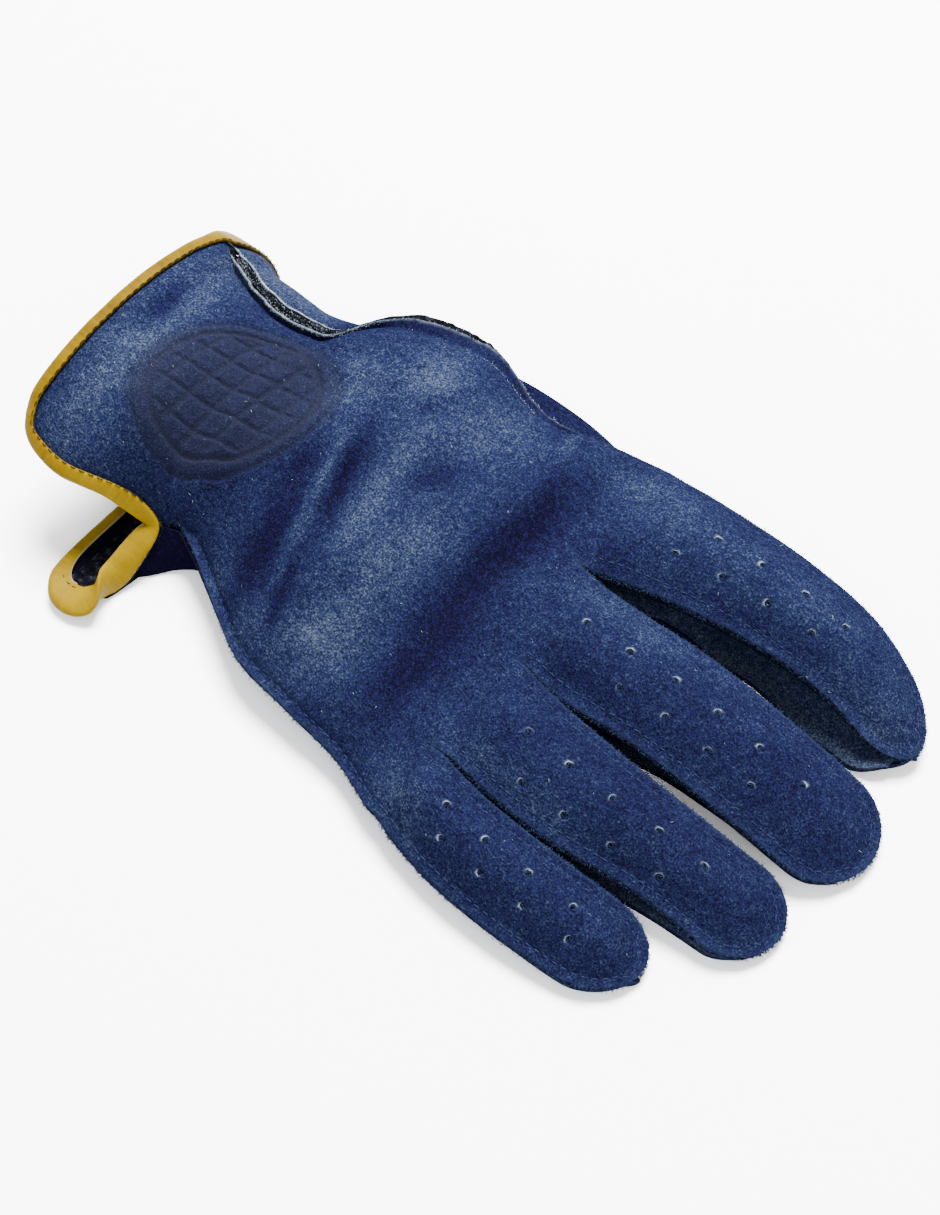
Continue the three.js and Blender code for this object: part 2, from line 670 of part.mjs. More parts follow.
function unsolid(manifold) {
  const { numProp, numVert, vertProperties, triVerts } = manifold.getMesh();
  const position = new Float32Array(numVert * 3);
  for (let i = 0; i < numVert; i += 1) {
    position.set(vertProperties.subarray(i * numProp, i * numProp + 3), i * 3);
  }
  const geometry = new THREE.BufferGeometry();
  geometry.setAttribute("position", new THREE.BufferAttribute(position, 3));
  geometry.setIndex(new THREE.BufferAttribute(triVerts, 1));
  return geometry;
}

// Rows and columns of the panels' grids

const HAND_V = [0, 0.042, 0.095, 0.15, 0.21, 0.264, 0.33, 0.39, 0.47, 0.56, 0.65, 0.74, 0.83, 0.92, 1];
const FINGER_F = [0, 0.08, 0.16, 0.25, 0.37, 0.49, 0.61, 0.73, 0.82, 0.89, 0.94, 0.975, 1];
const ACROSS = [-1, -0.8, -0.45, 0, 0.45, 0.8, 1];
const PALM_V = [0, 0.03, 0.06, 0.078, 0.095, 0.11, 0.124, 0.137, 0.15, ...HAND_V.slice(4)];
const ULNAR_SIDE = [-1, -0.88, -0.75, -0.6, -0.4, -0.2];
const RADIAL_SIDE = [4.2, 4.4, 4.6, 4.75, 5];

const BACK_APEX_ROW = 5;
const PALM_APEX_ROW = 8;

const backColumns = [0];
for (let k = 0; k < 4; k += 1) {
  for (const u of ACROSS.slice(1)) backColumns.push(k + (u + 1) / 2);
}
const PALM_FLOOR = [0, 0.5, 1, 1.5, 2, 2.35, 2.7, 3, 3.35, 3.7, 4];
const palmColumns = [...ULNAR_SIDE, ...PALM_FLOOR, ...RADIAL_SIDE];

const back = {
  sheet: new Sheet(LEATHER),
  hand: HAND_V.map((v) => backColumns.map((c) => backPoint(c, v))),
};
back.sheet.grid(back.hand);
for (let k = 0; k < 4; k += 1) {
  back.sheet.grid(FINGER_F.map((f) => ACROSS.map((u) => fingerBack(k, u, f))));
}

const palm = {
  sheet: new Sheet(LEATHER),
  hand: PALM_V.map((v) => palmColumns.map((c) => palmPoint(c, v))),
};
palm.sheet.grid(palm.hand, true);
for (let k = 0; k < 4; k += 1) {
  const own = palmColumns.filter((c) => (k === 0 || c >= k) && (k === 3 || c <= k + 1));
  palm.sheet.grid(FINGER_F.map((f) => own.map((c) => fingerPalm(k, c, f))), true);
}

function backPanel() {
  let leather = solid(back.sheet.geometry());
  for (const line of PERFORATED) {
    for (let i = 0; i < line.count; i += 1) {
      leather = leather.subtract(solid(perforation(line, i)));
    }
  }
  return unsolid(leather);
}

function perforation(line, i) {
  const { radius, sides, pitch, depth } = PERFORATION;
  const { rows } = FINGERS[line.finger];
  const x = line.x + pitch * i;
  const start = backPoint(line.finger + (line.u + 1) / 2, 1).x;
  const f = (x - start) / (rows[rows.length - 1].x - start);
  const p = fingerBack(line.finger, line.u, f);
  const bore = new THREE.CylinderGeometry(radius, radius, depth, sides);
  bore.deleteAttribute("normal");
  bore.deleteAttribute("uv");
  bore.rotateX(Math.PI / 2);
  bore.translate(p.x, p.y, p.z - 0.5);
  return bore;
}

function thumbPort() {
  const { x, y, halfLength, halfWidth, turn, bottom, top } = THUMB_PORT;
  const bore = new THREE.CylinderGeometry(1, 1, top - bottom, 18);
  bore.deleteAttribute("normal");
  bore.deleteAttribute("uv");
  bore.rotateX(Math.PI / 2);
  bore.scale(halfLength, halfWidth, 1);
  bore.rotateZ(degToRad(turn));
  bore.translate(x, y, (bottom + top) / 2);
  return solid(bore);
}

function palmPanel() {
  return unsolid(solid(palm.sheet.geometry()).subtract(thumbPort()));
}

// A side strip between two fingers: from one finger's tip round the fork to the next one's.
function fourchette(k) {
  const { thickness, bow, forkTurn, forkLip, fingerWidth } = FOURCHETTE;
  const drop = LEATHER + GAP + thickness;
  const steepness = (p) => Math.hypot(
    1,
    palmLift(p.x + 1, p.y) - palmLift(p.x, p.y),
    palmLift(p.x, p.y + 1) - palmLift(p.x, p.y),
  );
  const stations = [];
  const station = (edge, root, palmEdge, palmRoot, away) => {
    const top = root.clone().setZ(root.z - drop);
    const rise = drop * steepness(palmRoot);
    const bottom = root.clone().setZ(palmRoot.z + rise);
    const middle = top.clone().lerp(bottom, 0.5).addScaledVector(away, bow);
    stations.push([
      edge.clone().setZ(edge.z - drop),
      top,
      middle,
      bottom,
      edge.clone().setZ(palmEdge.z + rise),
    ]);
  };
  const alongFinger = (finger, side, f) => {
    const c = side > 0 ? finger + 1 : finger;
    const inner = c - side * BRIM_SHARE;
    const away = new THREE.Vector3(0, -side, 0);
    const edge = fingerBack(finger, side, f);
    const root = fingerBack(finger, side * (1 - BRIM_U), f);
    station(edge, root, fingerPalm(finger, c, f), fingerPalm(finger, inner, f), away);
  };
  for (const f of FOURCHETTE_F) alongFinger(k, 1, f);
  const c = k + 1;
  const fork = backPoint(c, 1);
  const forkPalm = palmPoint(c, 1);
  for (const turn of [-forkTurn, 0, forkTurn]) {
    const away = new THREE.Vector3(-Math.cos(degToRad(turn)), Math.sin(degToRad(turn)), 0);
    const behind = 1 + (BRIM * away.x) / (forkX(c) - CUFF_X);
    const beside = c + (BRIM * away.y) / fingerWidth;
    const root = backPoint(beside, behind);
    const edge = fork.clone().addScaledVector(away, forkLip);
    station(edge, root, forkPalm, palmPoint(beside, behind), away);
  }
  for (const f of [...FOURCHETTE_F].reverse()) alongFinger(k + 1, -1, f);
  const strip = new Sheet(thickness).grid(stations, true).geometry();
  // The palm is steep under the index's root, where it passes over the thumb
  return k < 2 ? strip : unsolid(solid(strip).subtract(solid(palm.sheet.geometry(GAP))));
}

// Turns a circle's sine or cosine into that of a slightly squared round
const fuller = (n) => Math.sign(n) * Math.abs(n) ** 0.8;

// The thumb: a flattened hollow finger whose top opens into the hand
function thumbRings(inset) {
  const rows = THUMB.filter((row) => row.height > 4 * inset);
  return rows.map((row, i) => {
    const a = rows[Math.max(0, i - 1)];
    const b = rows[Math.min(rows.length - 1, i + 1)];
    const ahead = new THREE.Vector2(b.x - a.x, b.y - a.y).normalize();
    const end = i === 0 ? 1 : i === rows.length - 1 ? -1 : 0;
    const ring = [];
    for (let j = 0; j < THUMB_SIDES; j += 1) {
      const angle = (-2 * Math.PI * (j + 0.5)) / THUMB_SIDES;
      const wide = (row.halfWidth - inset) * fuller(Math.cos(angle));
      const tall = clamp(1.1 * fuller(Math.sin(angle)), -1, 1);
      const z = row.height / 2 + tall * (row.height / 2 - inset);
      ring.push(new THREE.Vector3(
        row.x + ahead.x * end * inset - ahead.y * wide,
        row.y + ahead.y * end * inset + ahead.x * wide,
        z,
      ));
    }
    return ring;
  });
}

function thumb() {
  const outer = solid(loft(thumbRings(0)));
  return unsolid(outer.subtract(solid(loft(thumbRings(LEATHER)))).subtract(thumbPort()));
}

// The stretch of each panel's grid that is lined: from inside the binding to where it is hidden
const LINED = {
  back: { rows: [1, 7], columns: [2, backColumns.length - 2] },
  palm: { rows: [3, 12], columns: [3, palmColumns.length - 2] },
};

function lining({ sheet, hand }, { rows, columns }, flip) {
  const patch = hand.slice(...rows).map((row) => row.slice(...columns));
  return new Sheet(LINING).grid(sheet.under(patch, LEATHER + GAP), flip).geometry();
}

// The fleece strip that stands between the wrist seam's two raw edges: it starts clear of the
// binding, reaches below the stitches and stands a little above the edges
const WELT_REACH = { start: 0.055, below: 0.8, above: 0.3 };

function outseamWelt() {
  const places = [WELT_REACH.start, ...HAND_V.slice(2, 12)];
  const rows = places.map((v) => {
    const x = lerp(CUFF_X, SIDE_X, v);
    const { root: foot, edge, palmRoot, down, slant } = radialFrame(x);
    const height = edge.distanceTo(foot);
    const out = edge.clone().sub(foot).normalize();
    const aside = (palmRoot.distanceTo(foot) - WELT * slant) / 2;
    const face = foot.clone().addScaledVector(down, aside);
    return [-WELT_REACH.below, height / 2, height + WELT_REACH.above].map((reach) => {
      const p = face.clone().addScaledVector(out, reach);
      return new THREE.Vector3(x, p.x, p.y);
    });
  });
  return new Sheet(WELT).grid(rows).geometry();
}

// The binding's path round the cuff, down one side of the slit and up the other: points of
// the panels' outer edge with the outward normal there and the stretch's depth and nose
function bindingPath() {
  const path = [];
  const visitor = ({ sheet, hand }) => {
    const normals = sheet.normals();
    return (row, column, reach) => {
      const edge = hand[row][column];
      path.push({ edge, normal: normals[sheet.vertex(edge)], ...reach });
    };
  };
  const visitBack = visitor(back);
  const visitPalm = visitor(palm);
  for (let column = backColumns.length - 2; column >= 0; column -= 1) {
    visitBack(0, column, BOUND.backCuff);
  }
  for (let row = 1; row < BACK_APEX_ROW; row += 1) visitBack(row, 0, BOUND.backSlit);
  const above = back.hand[BACK_APEX_ROW][0];
  const below = palm.hand[PALM_APEX_ROW][0];
  const normal = new THREE.Vector3(0, -1, 0.1).normalize();
  path.push({ edge: above.clone().lerp(below, 0.5), normal, ...BOUND.apex });
  for (let row = PALM_APEX_ROW - 1; row > 2; row -= 1) visitPalm(row, 0, BOUND.tongueSide);
  for (let column = 0; column < palmColumns.length - 1; column += 1) {
    visitPalm(0, column, palmColumns[column] < 0.5 ? BOUND.tongueEnd : BOUND.palmCuff);
  }
  return path;
}

// The strip as a closed loop. With room it is the plain space that the lining leaves to it.
function bindingLoop(room = 0) {
  const path = bindingPath();
  const open = BINDING.slot / 2;
  const full = open + BINDING.wall + room;
  const { bottom } = BINDING;
  const rings = path.map(({ edge, normal, depth, nose }, i) => {
    const before = path[(i + path.length - 1) % path.length].edge;
    const after = path[(i + 1) % path.length].edge;
    const ahead = after.clone().sub(before).normalize();
    const up = normal.clone().addScaledVector(ahead, -normal.dot(ahead)).normalize();
    const inward = up.clone().cross(ahead);
    const middle = edge.clone().addScaledVector(normal, -LEATHER / 2);
    const inner = depth + room;
    const slot = [[inner, open], [-bottom, open], [-bottom, -open], [inner, -open]];
    const body = [
      [inner, -full], [0, -full], [-nose, -0.45 * full], [-nose, 0.45 * full], [0, full], [inner, full],
    ];
    return (room ? body : [...slot, ...body]).map(([a, b]) =>
      middle.clone().addScaledVector(inward, a).addScaledVector(up, b));
  });
  return solid(loft(rings, true));
}

function cuffBinding() {
  // Above the slit the back bends inside the binding, so its own room is cut there
  const edge = back.hand.slice(0, BACK_APEX_ROW + 2).map((row) => row.slice(0, 4));
  const room = new Sheet(LEATHER).grid(edge).geometry(GAP);
  return unsolid(bindingLoop().subtract(solid(room)));
}

const insideBinding = (geometry) => unsolid(solid(geometry).subtract(bindingLoop(GAP)));

const root = new THREE.Group();

function add(name, geometry, finish) {
  geometry.computeVertexNormals();
  const mesh = new THREE.Mesh(geometry, new THREE.MeshStandardMaterial(COLOURS[finish]));
  mesh.name = name;
  root.add(mesh);
}

add("back_panel", backPanel(), "suede");
add("palm_panel", palmPanel(), "suede");
add("fourchette_little_ring", fourchette(0), "suede");
add("fourchette_ring_middle", fourchette(1), "suede");
add("fourchette_middle_index", fourchette(2), "suede");
add("thumb", thumb(), "suede");
add("back_lining", insideBinding(lining(back, LINED.back, false)), "fleece");
add("palm_lining", insideBinding(lining(palm, LINED.palm, true)), "fleece");
add("outseam_welt", outseamWelt(), "fleece");
add("cuff_binding", cuffBinding(), "binding");

// The glove rests at z = 0 with its outline centred on the origin
const box = new THREE.Box3().setFromObject(root);
root.position.set(-(box.min.x + box.max.x) / 2, -(box.min.y + box.max.y) / 2, -box.min.z);

export default root;
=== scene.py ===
# The looks of a right-hand suede racing glove that lies palm down on a pale table.
# Its pattern is drawn in millimetres and becomes metres in the part's frame in one place.
# +X points to the fingertips, +Y to the thumb's side, +Z up out of the back of the hand.

import json
import math

import bpy
import numpy as np
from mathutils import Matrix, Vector

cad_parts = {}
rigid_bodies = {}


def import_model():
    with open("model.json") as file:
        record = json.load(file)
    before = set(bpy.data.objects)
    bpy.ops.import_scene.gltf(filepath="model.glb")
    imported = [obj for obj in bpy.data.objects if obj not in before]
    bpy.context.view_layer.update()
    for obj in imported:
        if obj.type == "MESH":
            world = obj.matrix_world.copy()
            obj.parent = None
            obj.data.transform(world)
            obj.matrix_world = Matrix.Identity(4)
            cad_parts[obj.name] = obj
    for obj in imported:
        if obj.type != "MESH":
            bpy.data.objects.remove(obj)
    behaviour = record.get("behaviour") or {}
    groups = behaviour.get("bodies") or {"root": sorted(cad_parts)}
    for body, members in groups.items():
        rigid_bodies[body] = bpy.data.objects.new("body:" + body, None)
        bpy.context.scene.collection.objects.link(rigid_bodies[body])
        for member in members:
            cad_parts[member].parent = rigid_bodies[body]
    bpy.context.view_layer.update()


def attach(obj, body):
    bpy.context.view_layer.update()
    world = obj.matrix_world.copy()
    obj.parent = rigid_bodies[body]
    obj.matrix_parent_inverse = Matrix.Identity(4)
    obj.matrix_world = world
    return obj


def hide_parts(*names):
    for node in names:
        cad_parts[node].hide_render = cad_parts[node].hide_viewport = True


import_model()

MM = 0.001
# The pattern's own origin lies in the palm; the part's is in the middle of its outline
PATTERN_ORIGIN = np.array([4.08, -4.47, 0.0])

# Stock, in millimetres
LEATHER = 1.2
LINING = 0.8
GAP = 0.3
BRIM = 2.5
WRIST_BRIM = 3.0
WELT = 1.0
TUCK = 0.3

# How far the back's and the palm's outer faces lie apart in a closed seam, over the welt and
# under the binding
CLOSED_SPREAD = 2 * LEATHER + GAP
WELT_SPREAD = 2 * LEATHER + WELT + 3 * GAP
BARE_SPREAD = 1.5

# Places along the glove: the cuff, the forks, the outer fingers' sides, the slit's end, where
# the wrist widens into the hand, and where the outseam closes
CUFF_X = -120.6
FORK_X = 16.0
SIDE_X = 14.0
NOTCH_X = -81.0
WRIST_END_X = -84.0
WELT_END_X = -14.0

# Over the folded thumb the outseam's raw edges and the welt between them stand out further
EDGE_SWELL = {"x": -50.0, "reach": 20.0, "out": 1.3}
WELT_SWELL = {"x": -55.0, "reach": 17.0, "out": 2.2}


def table(names, *rows):
    """Rows of numbers as one array for each named column."""
    return {name: np.array([row[i] for row in rows], float) for i, name in enumerate(names)}


# The back's two seamed edges, the crown between them and the seam allowances' slopes
HAND = table(
    ["x", "ulnar_y", "ulnar_z", "radial_y", "radial_z", "crown", "ulnar_tilt", "radial_tilt"],
    [-120, -37.5, 31.5, 36.6, 39, 11, 45, 45],
    [-115, -40.2, 30.8, 33.2, 40, 11.5, 45, 55],
    [-109, -41.7, 29.8, 30.6, 41.2, 12, 43, 63],
    [-103, -41.7, 28.7, 28.2, 41.8, 12, 42, 70],
    [-97, -39.5, 27.2, 26.6, 42, 12.3, 40, 72],
    [-92, -36.2, 23.8, 26.0, 41.3, 12.8, 38, 72],
    [-88, -33.2, 19, 26.5, 40.5, 13.2, 36, 71],
    [-81.5, -30.2, 13.5, 28.8, 38.8, 13.8, 35, 68],
    [-76, -28.2, 15, 32.8, 37.4, 14, 28, 60],
    [-72.5, -29.4, 15, 41.5, 36.8, 14, 23, 44],
    [-68, -31.3, 15, 48.8, 36, 14, 18, 30],
    [-59, -35.9, 14, 54.0, 36, 13.4, 8, 16],
    [-49, -41.3, 13.6, 56.8, 35.7, 13, -2, 4],
    [-40, -45.6, 12.6, 57.7, 35, 13, -8, -5],
    [-20, -48.3, 11, 53.4, 30, 12, -12, -20],
    [0, -49.9, 9, 58.4, 28, 11, -10, -28],
    [16, -55.1, 9, 63.5, 25, 9, -10, -32],
)

# Where the three slits between the fingers start
FORKS = table(["x", "y"], [16, -34.8], [20, -6.2], [13.5, 22.8])

# Each finger's edges from the fork to its tip; low is the little finger's side. Tuck is how
# far the palm side's low edge lies further in than the back's
FINGER_COLUMNS = ["x", "low", "high", "low_z", "high_z", "crown", "tuck"]
FINGERS = [
    # Little finger
    {
        "tip": 13, "low_tilt": -10, "high_tilt": -12,
        "rows": table(
            FINGER_COLUMNS,
            [14, -54.6, -34.8, 9, 21, 6, 0],
            [36, -58.5, -36.9, 8, 18, 7, 0],
            [60, -58.6, -36.2, 7, 15, 7, 0],
            [74, -56.9, -34.1, 5.6, 10.6, 6, 0],
            [90, -53.2, -31.4, 3.4, 3.4, 5, 0],
        ),
    },
    # Ring finger
    {
        "tip": 13, "low_tilt": -15, "high_tilt": -12,
        "rows": table(
            FINGER_COLUMNS,
            [18, -34.8, -6.2, 21, 25, 6, 0],
            [37, -36.2, -7.7, 19, 23, 7, 1],
            [55, -35.4, -7.6, 17, 20, 7, 1.5],
            [78, -30.2, -6.3, 11.5, 15.5, 6, 0.8],
            [109, -27.6, -1.9, 3.3, 3.3, 5, 0.5],
        ),
    },
    # Middle finger
    {
        "tip": 14, "low_tilt": -15, "high_tilt": -12,
        "rows": table(
            FINGER_COLUMNS,
            [17, -6.2, 22.8, 25, 28, 6, 0],
            [36, -6.9, 24.4, 23, 25, 7, 2],
            [52, -4.4, 26.9, 21, 22, 7, 5.5],
            [80, -2.3, 28.4, 15.5, 16.5, 6, 6],
            [113.8, 1.0, 31.0, 3.4, 3.4, 5, 2],
        ),
    },
    # Index finger
    {
        "tip": 13, "low_tilt": -20, "high_tilt": -30,
        "rows": table(
            FINGER_COLUMNS,
            [13.5, 22.8, 63.3, 28, 25, 6, 0],
            [37, 31.9, 66.4, 24, 22, 7, 0],
            [57, 37.9, 67.4, 20, 20, 7, 0.8],
            [80, 40.5, 65.9, 15.5, 16, 6, -4.2],
            [106, 39.0, 57.4, 5.2, 6, 5, -4],
        ),
    },
]

# The palm's free tongue beside the slit, from its tip towards the slit's apex
TONGUE = [
    [-97, -60.0, 3.0],
    [-91, -60.6, 2.4],
    [-87.0, -59.0, 2.2],
    [-84.4, -54.8, 2.3],
    [-82.9, -49.0, 2.9],
    [-82.1, -43.0, 4.2],
    [-81.5, -37.3, 7.4],
]
# How far its floor lies in from its edge, and over what length it joins the sewn side
TONGUE_INSET = 12.0
APEX_REACH = 5.0

# How the palm turns up: where its flat floor ends and how far its sides bulge outwards
PALM_SIDES = table(
    ["x", "ulnar_inset", "radial_floor", "bulge"],
    [-125, 5, 36, 22],
    [-110, 5, 38, 19],
    [-95, 5, 40.5, 20],
    [-82, 5, 42.5, 22],
    [-68, 6, 49, 20],
    [-55, 7, 53.5, 11],
    [-38, 7, 58.5, 14.5],
    [-15, 7, 55.5, 12],
    [0, 7, 60.3, 11],
    [16, 7, 60.5, 9],
)
# The outer fingers' sides, and how far the palm side's edges rise where a tip turns up
FINGER_SIDE = {
    "low_inset": 6.0, "high_inset": 8.0, "low_bulge": 2.0, "high_bulge": 5.0,
    "tip_flatter": 0.7, "raised": 2.0,
}
# The wrist's low side wall bulges by a share of its height, and the walls lean on the floor
LOW_BULGE = {"share": 0.35, "most": 5.0}
FLOOR_LEAN = 0.75

# The palm's cuff edge, against the column across the palm
PALM_CUFF = table(
    ["at", "x"],
    [-1, -91.5], [-0.88, -94.0], [-0.75, -95.6], [-0.4, -97.0], [0, -97.8], [1.2, -99.3],
    [2.6, -104], [3.6, -111], [4.0, -114], [4.5, -119.5], [5.0, -120.6],
)
# It is lifted off the table by the binding under it
CUFF_RISE = {"height": 1.9, "fade": 12.0}

# The folded thumb's middle line, widths and heights
THUMB = table(
    ["x", "y", "half_width", "height"],
    [-78, 34, 4.5, 2.4],
    [-68, 39, 7.0, 8.0],
    [-60, 45, 14.5, 13.5],
    [-47, 51.5, 18.3, 15.0],
    [-28, 54.5, 17.5, 15.0],
    [-8, 53, 16.5, 15.0],
    [10, 46.5, 15.0, 14.0],
    [24, 39.5, 11.5, 12.0],
    [32, 35.5, 7.0, 8.5],
)
THUMB_SHAPE = {"rings": 90, "sides": 40, "squareness": 0.8, "flattened": 1.1}
# The palm's floor lies over the thumb within this reach and falls to the table beyond it
THUMB_LIFT = {"reach": 15.0, "fade": 17.0}

# Dents and swellings of the back: rise is negative for a dent, turn is from +X in degrees
FOLDS = table(
    ["x", "y", "long", "wide", "turn", "rise"],
    [-80, -3, 22, 17, 50, 1.6],
    [-10, 17, 26, 12, 75, 2.0],
    [3, 20, 40, 6, 80, -2.2],
    [-40, -2, 26, 5, 100, -2.0],
    [-32, -20, 20, 6, 70, 1.6],
    [-58, 20, 16, 6, 35, -1.8],
    [-16, -34, 16, 6, 60, -1.4],
)
# Smaller creases and dimples that only the looks have
CREASES = table(
    ["x", "y", "long", "wide", "turn", "rise"],
    [-111, 6, 11, 4.0, 95, -0.9],
    [-105, 8, 12, 3.2, 97, 0.5],
    [-57, 22, 14, 3.4, 100, 0.7],
    [-47.5, -4, 24, 2.4, 104, 1.1],
    [-44, 2, 13, 2.2, 106, -1.3],
    [-37, -29, 13, 1.9, 108, -1.2],
    [-32, -24, 14, 3.0, 106, 0.6],
    [-52, -23, 13, 4.5, 100, -0.9],
    [-39, 30, 6, 2.4, 60, -0.9],
    [-33, 25, 8, 3.0, 70, 0.5],
    [-27, 16, 10, 3.0, 60, -0.5],
    [-22, -6, 16, 5.0, 88, 0.5],
    [-8, 47, 10, 2.2, 115, 0.6],
    [-2.5, 43, 13, 2.6, 108, -1.0],
    [0, 8, 24, 4.0, 87, -0.7],
    [3, -22, 14, 3.6, 80, -0.7],
    [10, 30, 12, 2.6, 70, -0.5],
    [-64, 30, 10, 2.6, 30, -0.6],
    [-70, 22, 8, 3.0, 40, 0.4],
    [26, 50, 3, 9, 8, -0.4],
    [52, 53, 3, 10, -6, -0.5],
    [70, -46, 3, 9, 6, -0.4],
    [48, 10, 3, 10, 4, -0.35],
    [64, -18, 3, 10, -5, -0.35],
)

# The pressed oval behind the wrist: a rimmed lattice of diamonds. Its edge, its rims and the
# lattice's gap from the inner rim are shares of the oval's size
EMBLEM = {
    "x": -80.5, "y": 0.0, "long": 27.5, "wide": 18.5, "turn": 48.5,
    "swell": 0.7, "edge": 0.85, "edge_fade": 0.25, "rims": (0.98, 0.8), "rim_width": 0.7,
    "lattice": 7.0, "slant": 0.62, "line": 0.5, "line_depth": 0.85, "lattice_gap": 0.1,
    "lattice_fade": 0.05, "depth": 0.95,
}
# How flat the nap is pressed in the oval and, beyond that, on its lines
PRESSED = {"oval": 0.62, "lines": 0.38}

# Two staggered lines of holes on each finger: u is the place across, from -1 to 1
PERFORATED = [
    {"finger": 0, "x": 32.5, "count": 4, "u": 0.2},
    {"finger": 0, "x": 36.0, "count": 4, "u": -0.36},
    {"finger": 1, "x": 36.7, "count": 5, "u": 0.08},
    {"finger": 1, "x": 42.6, "count": 4, "u": -0.58},
    {"finger": 2, "x": 29.0, "count": 6, "u": 0.12},
    {"finger": 2, "x": 45.3, "count": 4, "u": -0.45},
    {"finger": 3, "x": 37.5, "count": 4, "u": 0.15},
    {"finger": 3, "x": 32.0, "count": 4, "u": -0.38},
]
PERFORATION = {"radius": 1.0, "pitch": 12.6, "fibres": 64}

random = np.random.default_rng(7)


# Small maths


def lerp(a, b, t):
    return a + (b - a) * t


def ease(t):
    s = np.clip(t, 0, 1)
    return s * s * (3 - 2 * s)


def along(rows, key, at, by="x"):
    """A smooth curve through one column of a table."""
    knots, values = rows[by], rows[key]
    s = np.clip(at, knots[0], knots[-1])
    i = np.clip(np.searchsorted(knots, s, side="left") - 1, 0, len(knots) - 2)
    step = np.diff(knots)
    slope = np.diff(values) / step
    tangent = np.concatenate([
        slope[:1],
        (slope[1:] * step[:-1] + slope[:-1] * step[1:]) / (step[1:] + step[:-1]),
        slope[-1:],
    ])
    t = (s - knots[i]) / step[i]
    r = 1 - t
    start = values[i] * (1 + 2 * t) * r * r + tangent[i] * step[i] * t * r * r
    end = values[i + 1] * t * t * (3 - 2 * t) - tangent[i + 1] * step[i] * t * t * r
    return start + end


def flat(y, z):
    """Points of a plane across the glove."""
    y, z = np.broadcast_arrays(np.asarray(y, float), np.asarray(z, float))
    return np.stack([y, z], -1)


def space(x, across):
    """Points in space from their x and their places in the plane across the glove."""
    return np.concatenate([np.asarray(x, float)[..., None], across], -1)


def col(values):
    """Numbers as a column, to multiply points."""
    return np.asarray(values, float)[..., None]


def unit(vectors):
    return vectors / np.maximum(np.linalg.norm(vectors, axis=-1, keepdims=True), 1e-9)


def path_length(path):
    """The length from a path's start to each of its points."""
    steps = np.linalg.norm(np.diff(path, axis=0), axis=1)
    return np.concatenate([[0], np.cumsum(steps)])


def along_path(values, length, at):
    """Values of a path's points at given lengths along it."""
    return np.stack([np.interp(at, length, values[:, i]) for i in range(values.shape[1])], -1)


def waves(x, y, lengths, seed):
    """Smooth unrepeated ripples from -1 to 1, of about the given lengths in millimetres."""
    own = np.random.default_rng(seed)
    each = 5
    total = 0.0
    for length in lengths:
        turn = own.uniform(0, 2 * math.pi, each)
        phase = own.uniform(0, 2 * math.pi, each)
        size = length * own.uniform(0.75, 1.35, each)
        for a, p, s in zip(turn, phase, size):
            total = total + np.sin(2 * math.pi * (x * math.cos(a) + y * math.sin(a)) / s + p)
    return total / (2.2 * math.sqrt(each * len(lengths)))


def swelling(place, x):
    """A flat-topped rise along the glove, in millimetres."""
    return place["out"] * np.exp(-(((x - place["x"]) / place["reach"]) ** 4))


# The hand's outseams: their allowances show once they come out from under the binding

UNDER_BINDING = 5.0


def radial_shown(x):
    return ease((x - CUFF_X - UNDER_BINDING) / 6)


def radial_parted(x):
    return ease((x - CUFF_X) / UNDER_BINDING)


def ulnar_shown(x):
    return ease((x - NOTCH_X - UNDER_BINDING) / 6)


def ulnar_parted(x):
    return ease((x - NOTCH_X) / UNDER_BINDING)


def seam(edge, tilt_degrees, side, shown, brim, spread, slope=(0.0, 0.0)):
    """Edge and root of the back's seam allowance, and of the palm's, which lies below it."""
    tilt = np.radians(tilt_degrees)
    out = flat(side * np.cos(tilt), np.sin(tilt))
    down = flat(side * np.sin(tilt), -np.cos(tilt))
    slope = np.asarray(slope, float)
    slant = np.hypot(1, slope[..., 0] * out[..., 1] - slope[..., 1] * out[..., 0])
    tuck = TUCK * (1 - shown)
    root = edge - out * col(brim * shown) - down * col(tuck)
    palm_root = root + down * col(spread * slant)
    palm_edge = palm_root + out * col(brim * shown) - down * col(tuck)
    return {
        "edge": edge, "root": root, "palm_root": palm_root, "palm_edge": palm_edge,
        "down": down, "out": out, "slant": slant,
    }


def hand_edge(side, x):
    return flat(along(HAND, side + "_y", x), along(HAND, side + "_z", x))


def edge_slope(side, x):
    return hand_edge(side, x + 0.5) - hand_edge(side, x - 0.5)


def radial_frame(x):
    """The seam on the index finger's side at x, open over the wrist for the welt."""
    x = np.asarray(x, float)
    welt = 1 - ease((x - WELT_END_X + 8) / 10)
    brim = lerp(BRIM, WRIST_BRIM, welt) + swelling(EDGE_SWELL, x)
    spread = lerp(BARE_SPREAD, lerp(CLOSED_SPREAD, WELT_SPREAD, welt), radial_parted(x))
    return seam(
        hand_edge("radial", x), along(HAND, "radial_tilt", x), 1, radial_shown(x), brim,
        spread, edge_slope("radial", x),
    )


def ulnar_frame(x):
    """The seam on the little finger's side at x, closed from the slit's end on."""
    x = np.asarray(x, float)
    spread = lerp(BARE_SPREAD, CLOSED_SPREAD, ulnar_parted(x))
    return seam(
        hand_edge("ulnar", x), along(HAND, "ulnar_tilt", x), -1, ulnar_shown(x), BRIM,
        spread, edge_slope("ulnar", x),
    )


# Columns run across the hand from 0 at the little finger's side to 4 at the index's side.
# The seam allowances take a tenth of a column at each side.
BRIM_SHARE = 0.1
FORK_AT = np.array([BRIM_SHARE, 1, 2, 3, 4 - BRIM_SHARE])
FORK_XS = np.array([SIDE_X, *FORKS["x"], SIDE_X])
FORK_YS = np.array([
    along(HAND, "ulnar_y", SIDE_X) + BRIM, *FORKS["y"], along(HAND, "radial_y", SIDE_X) - BRIM,
])
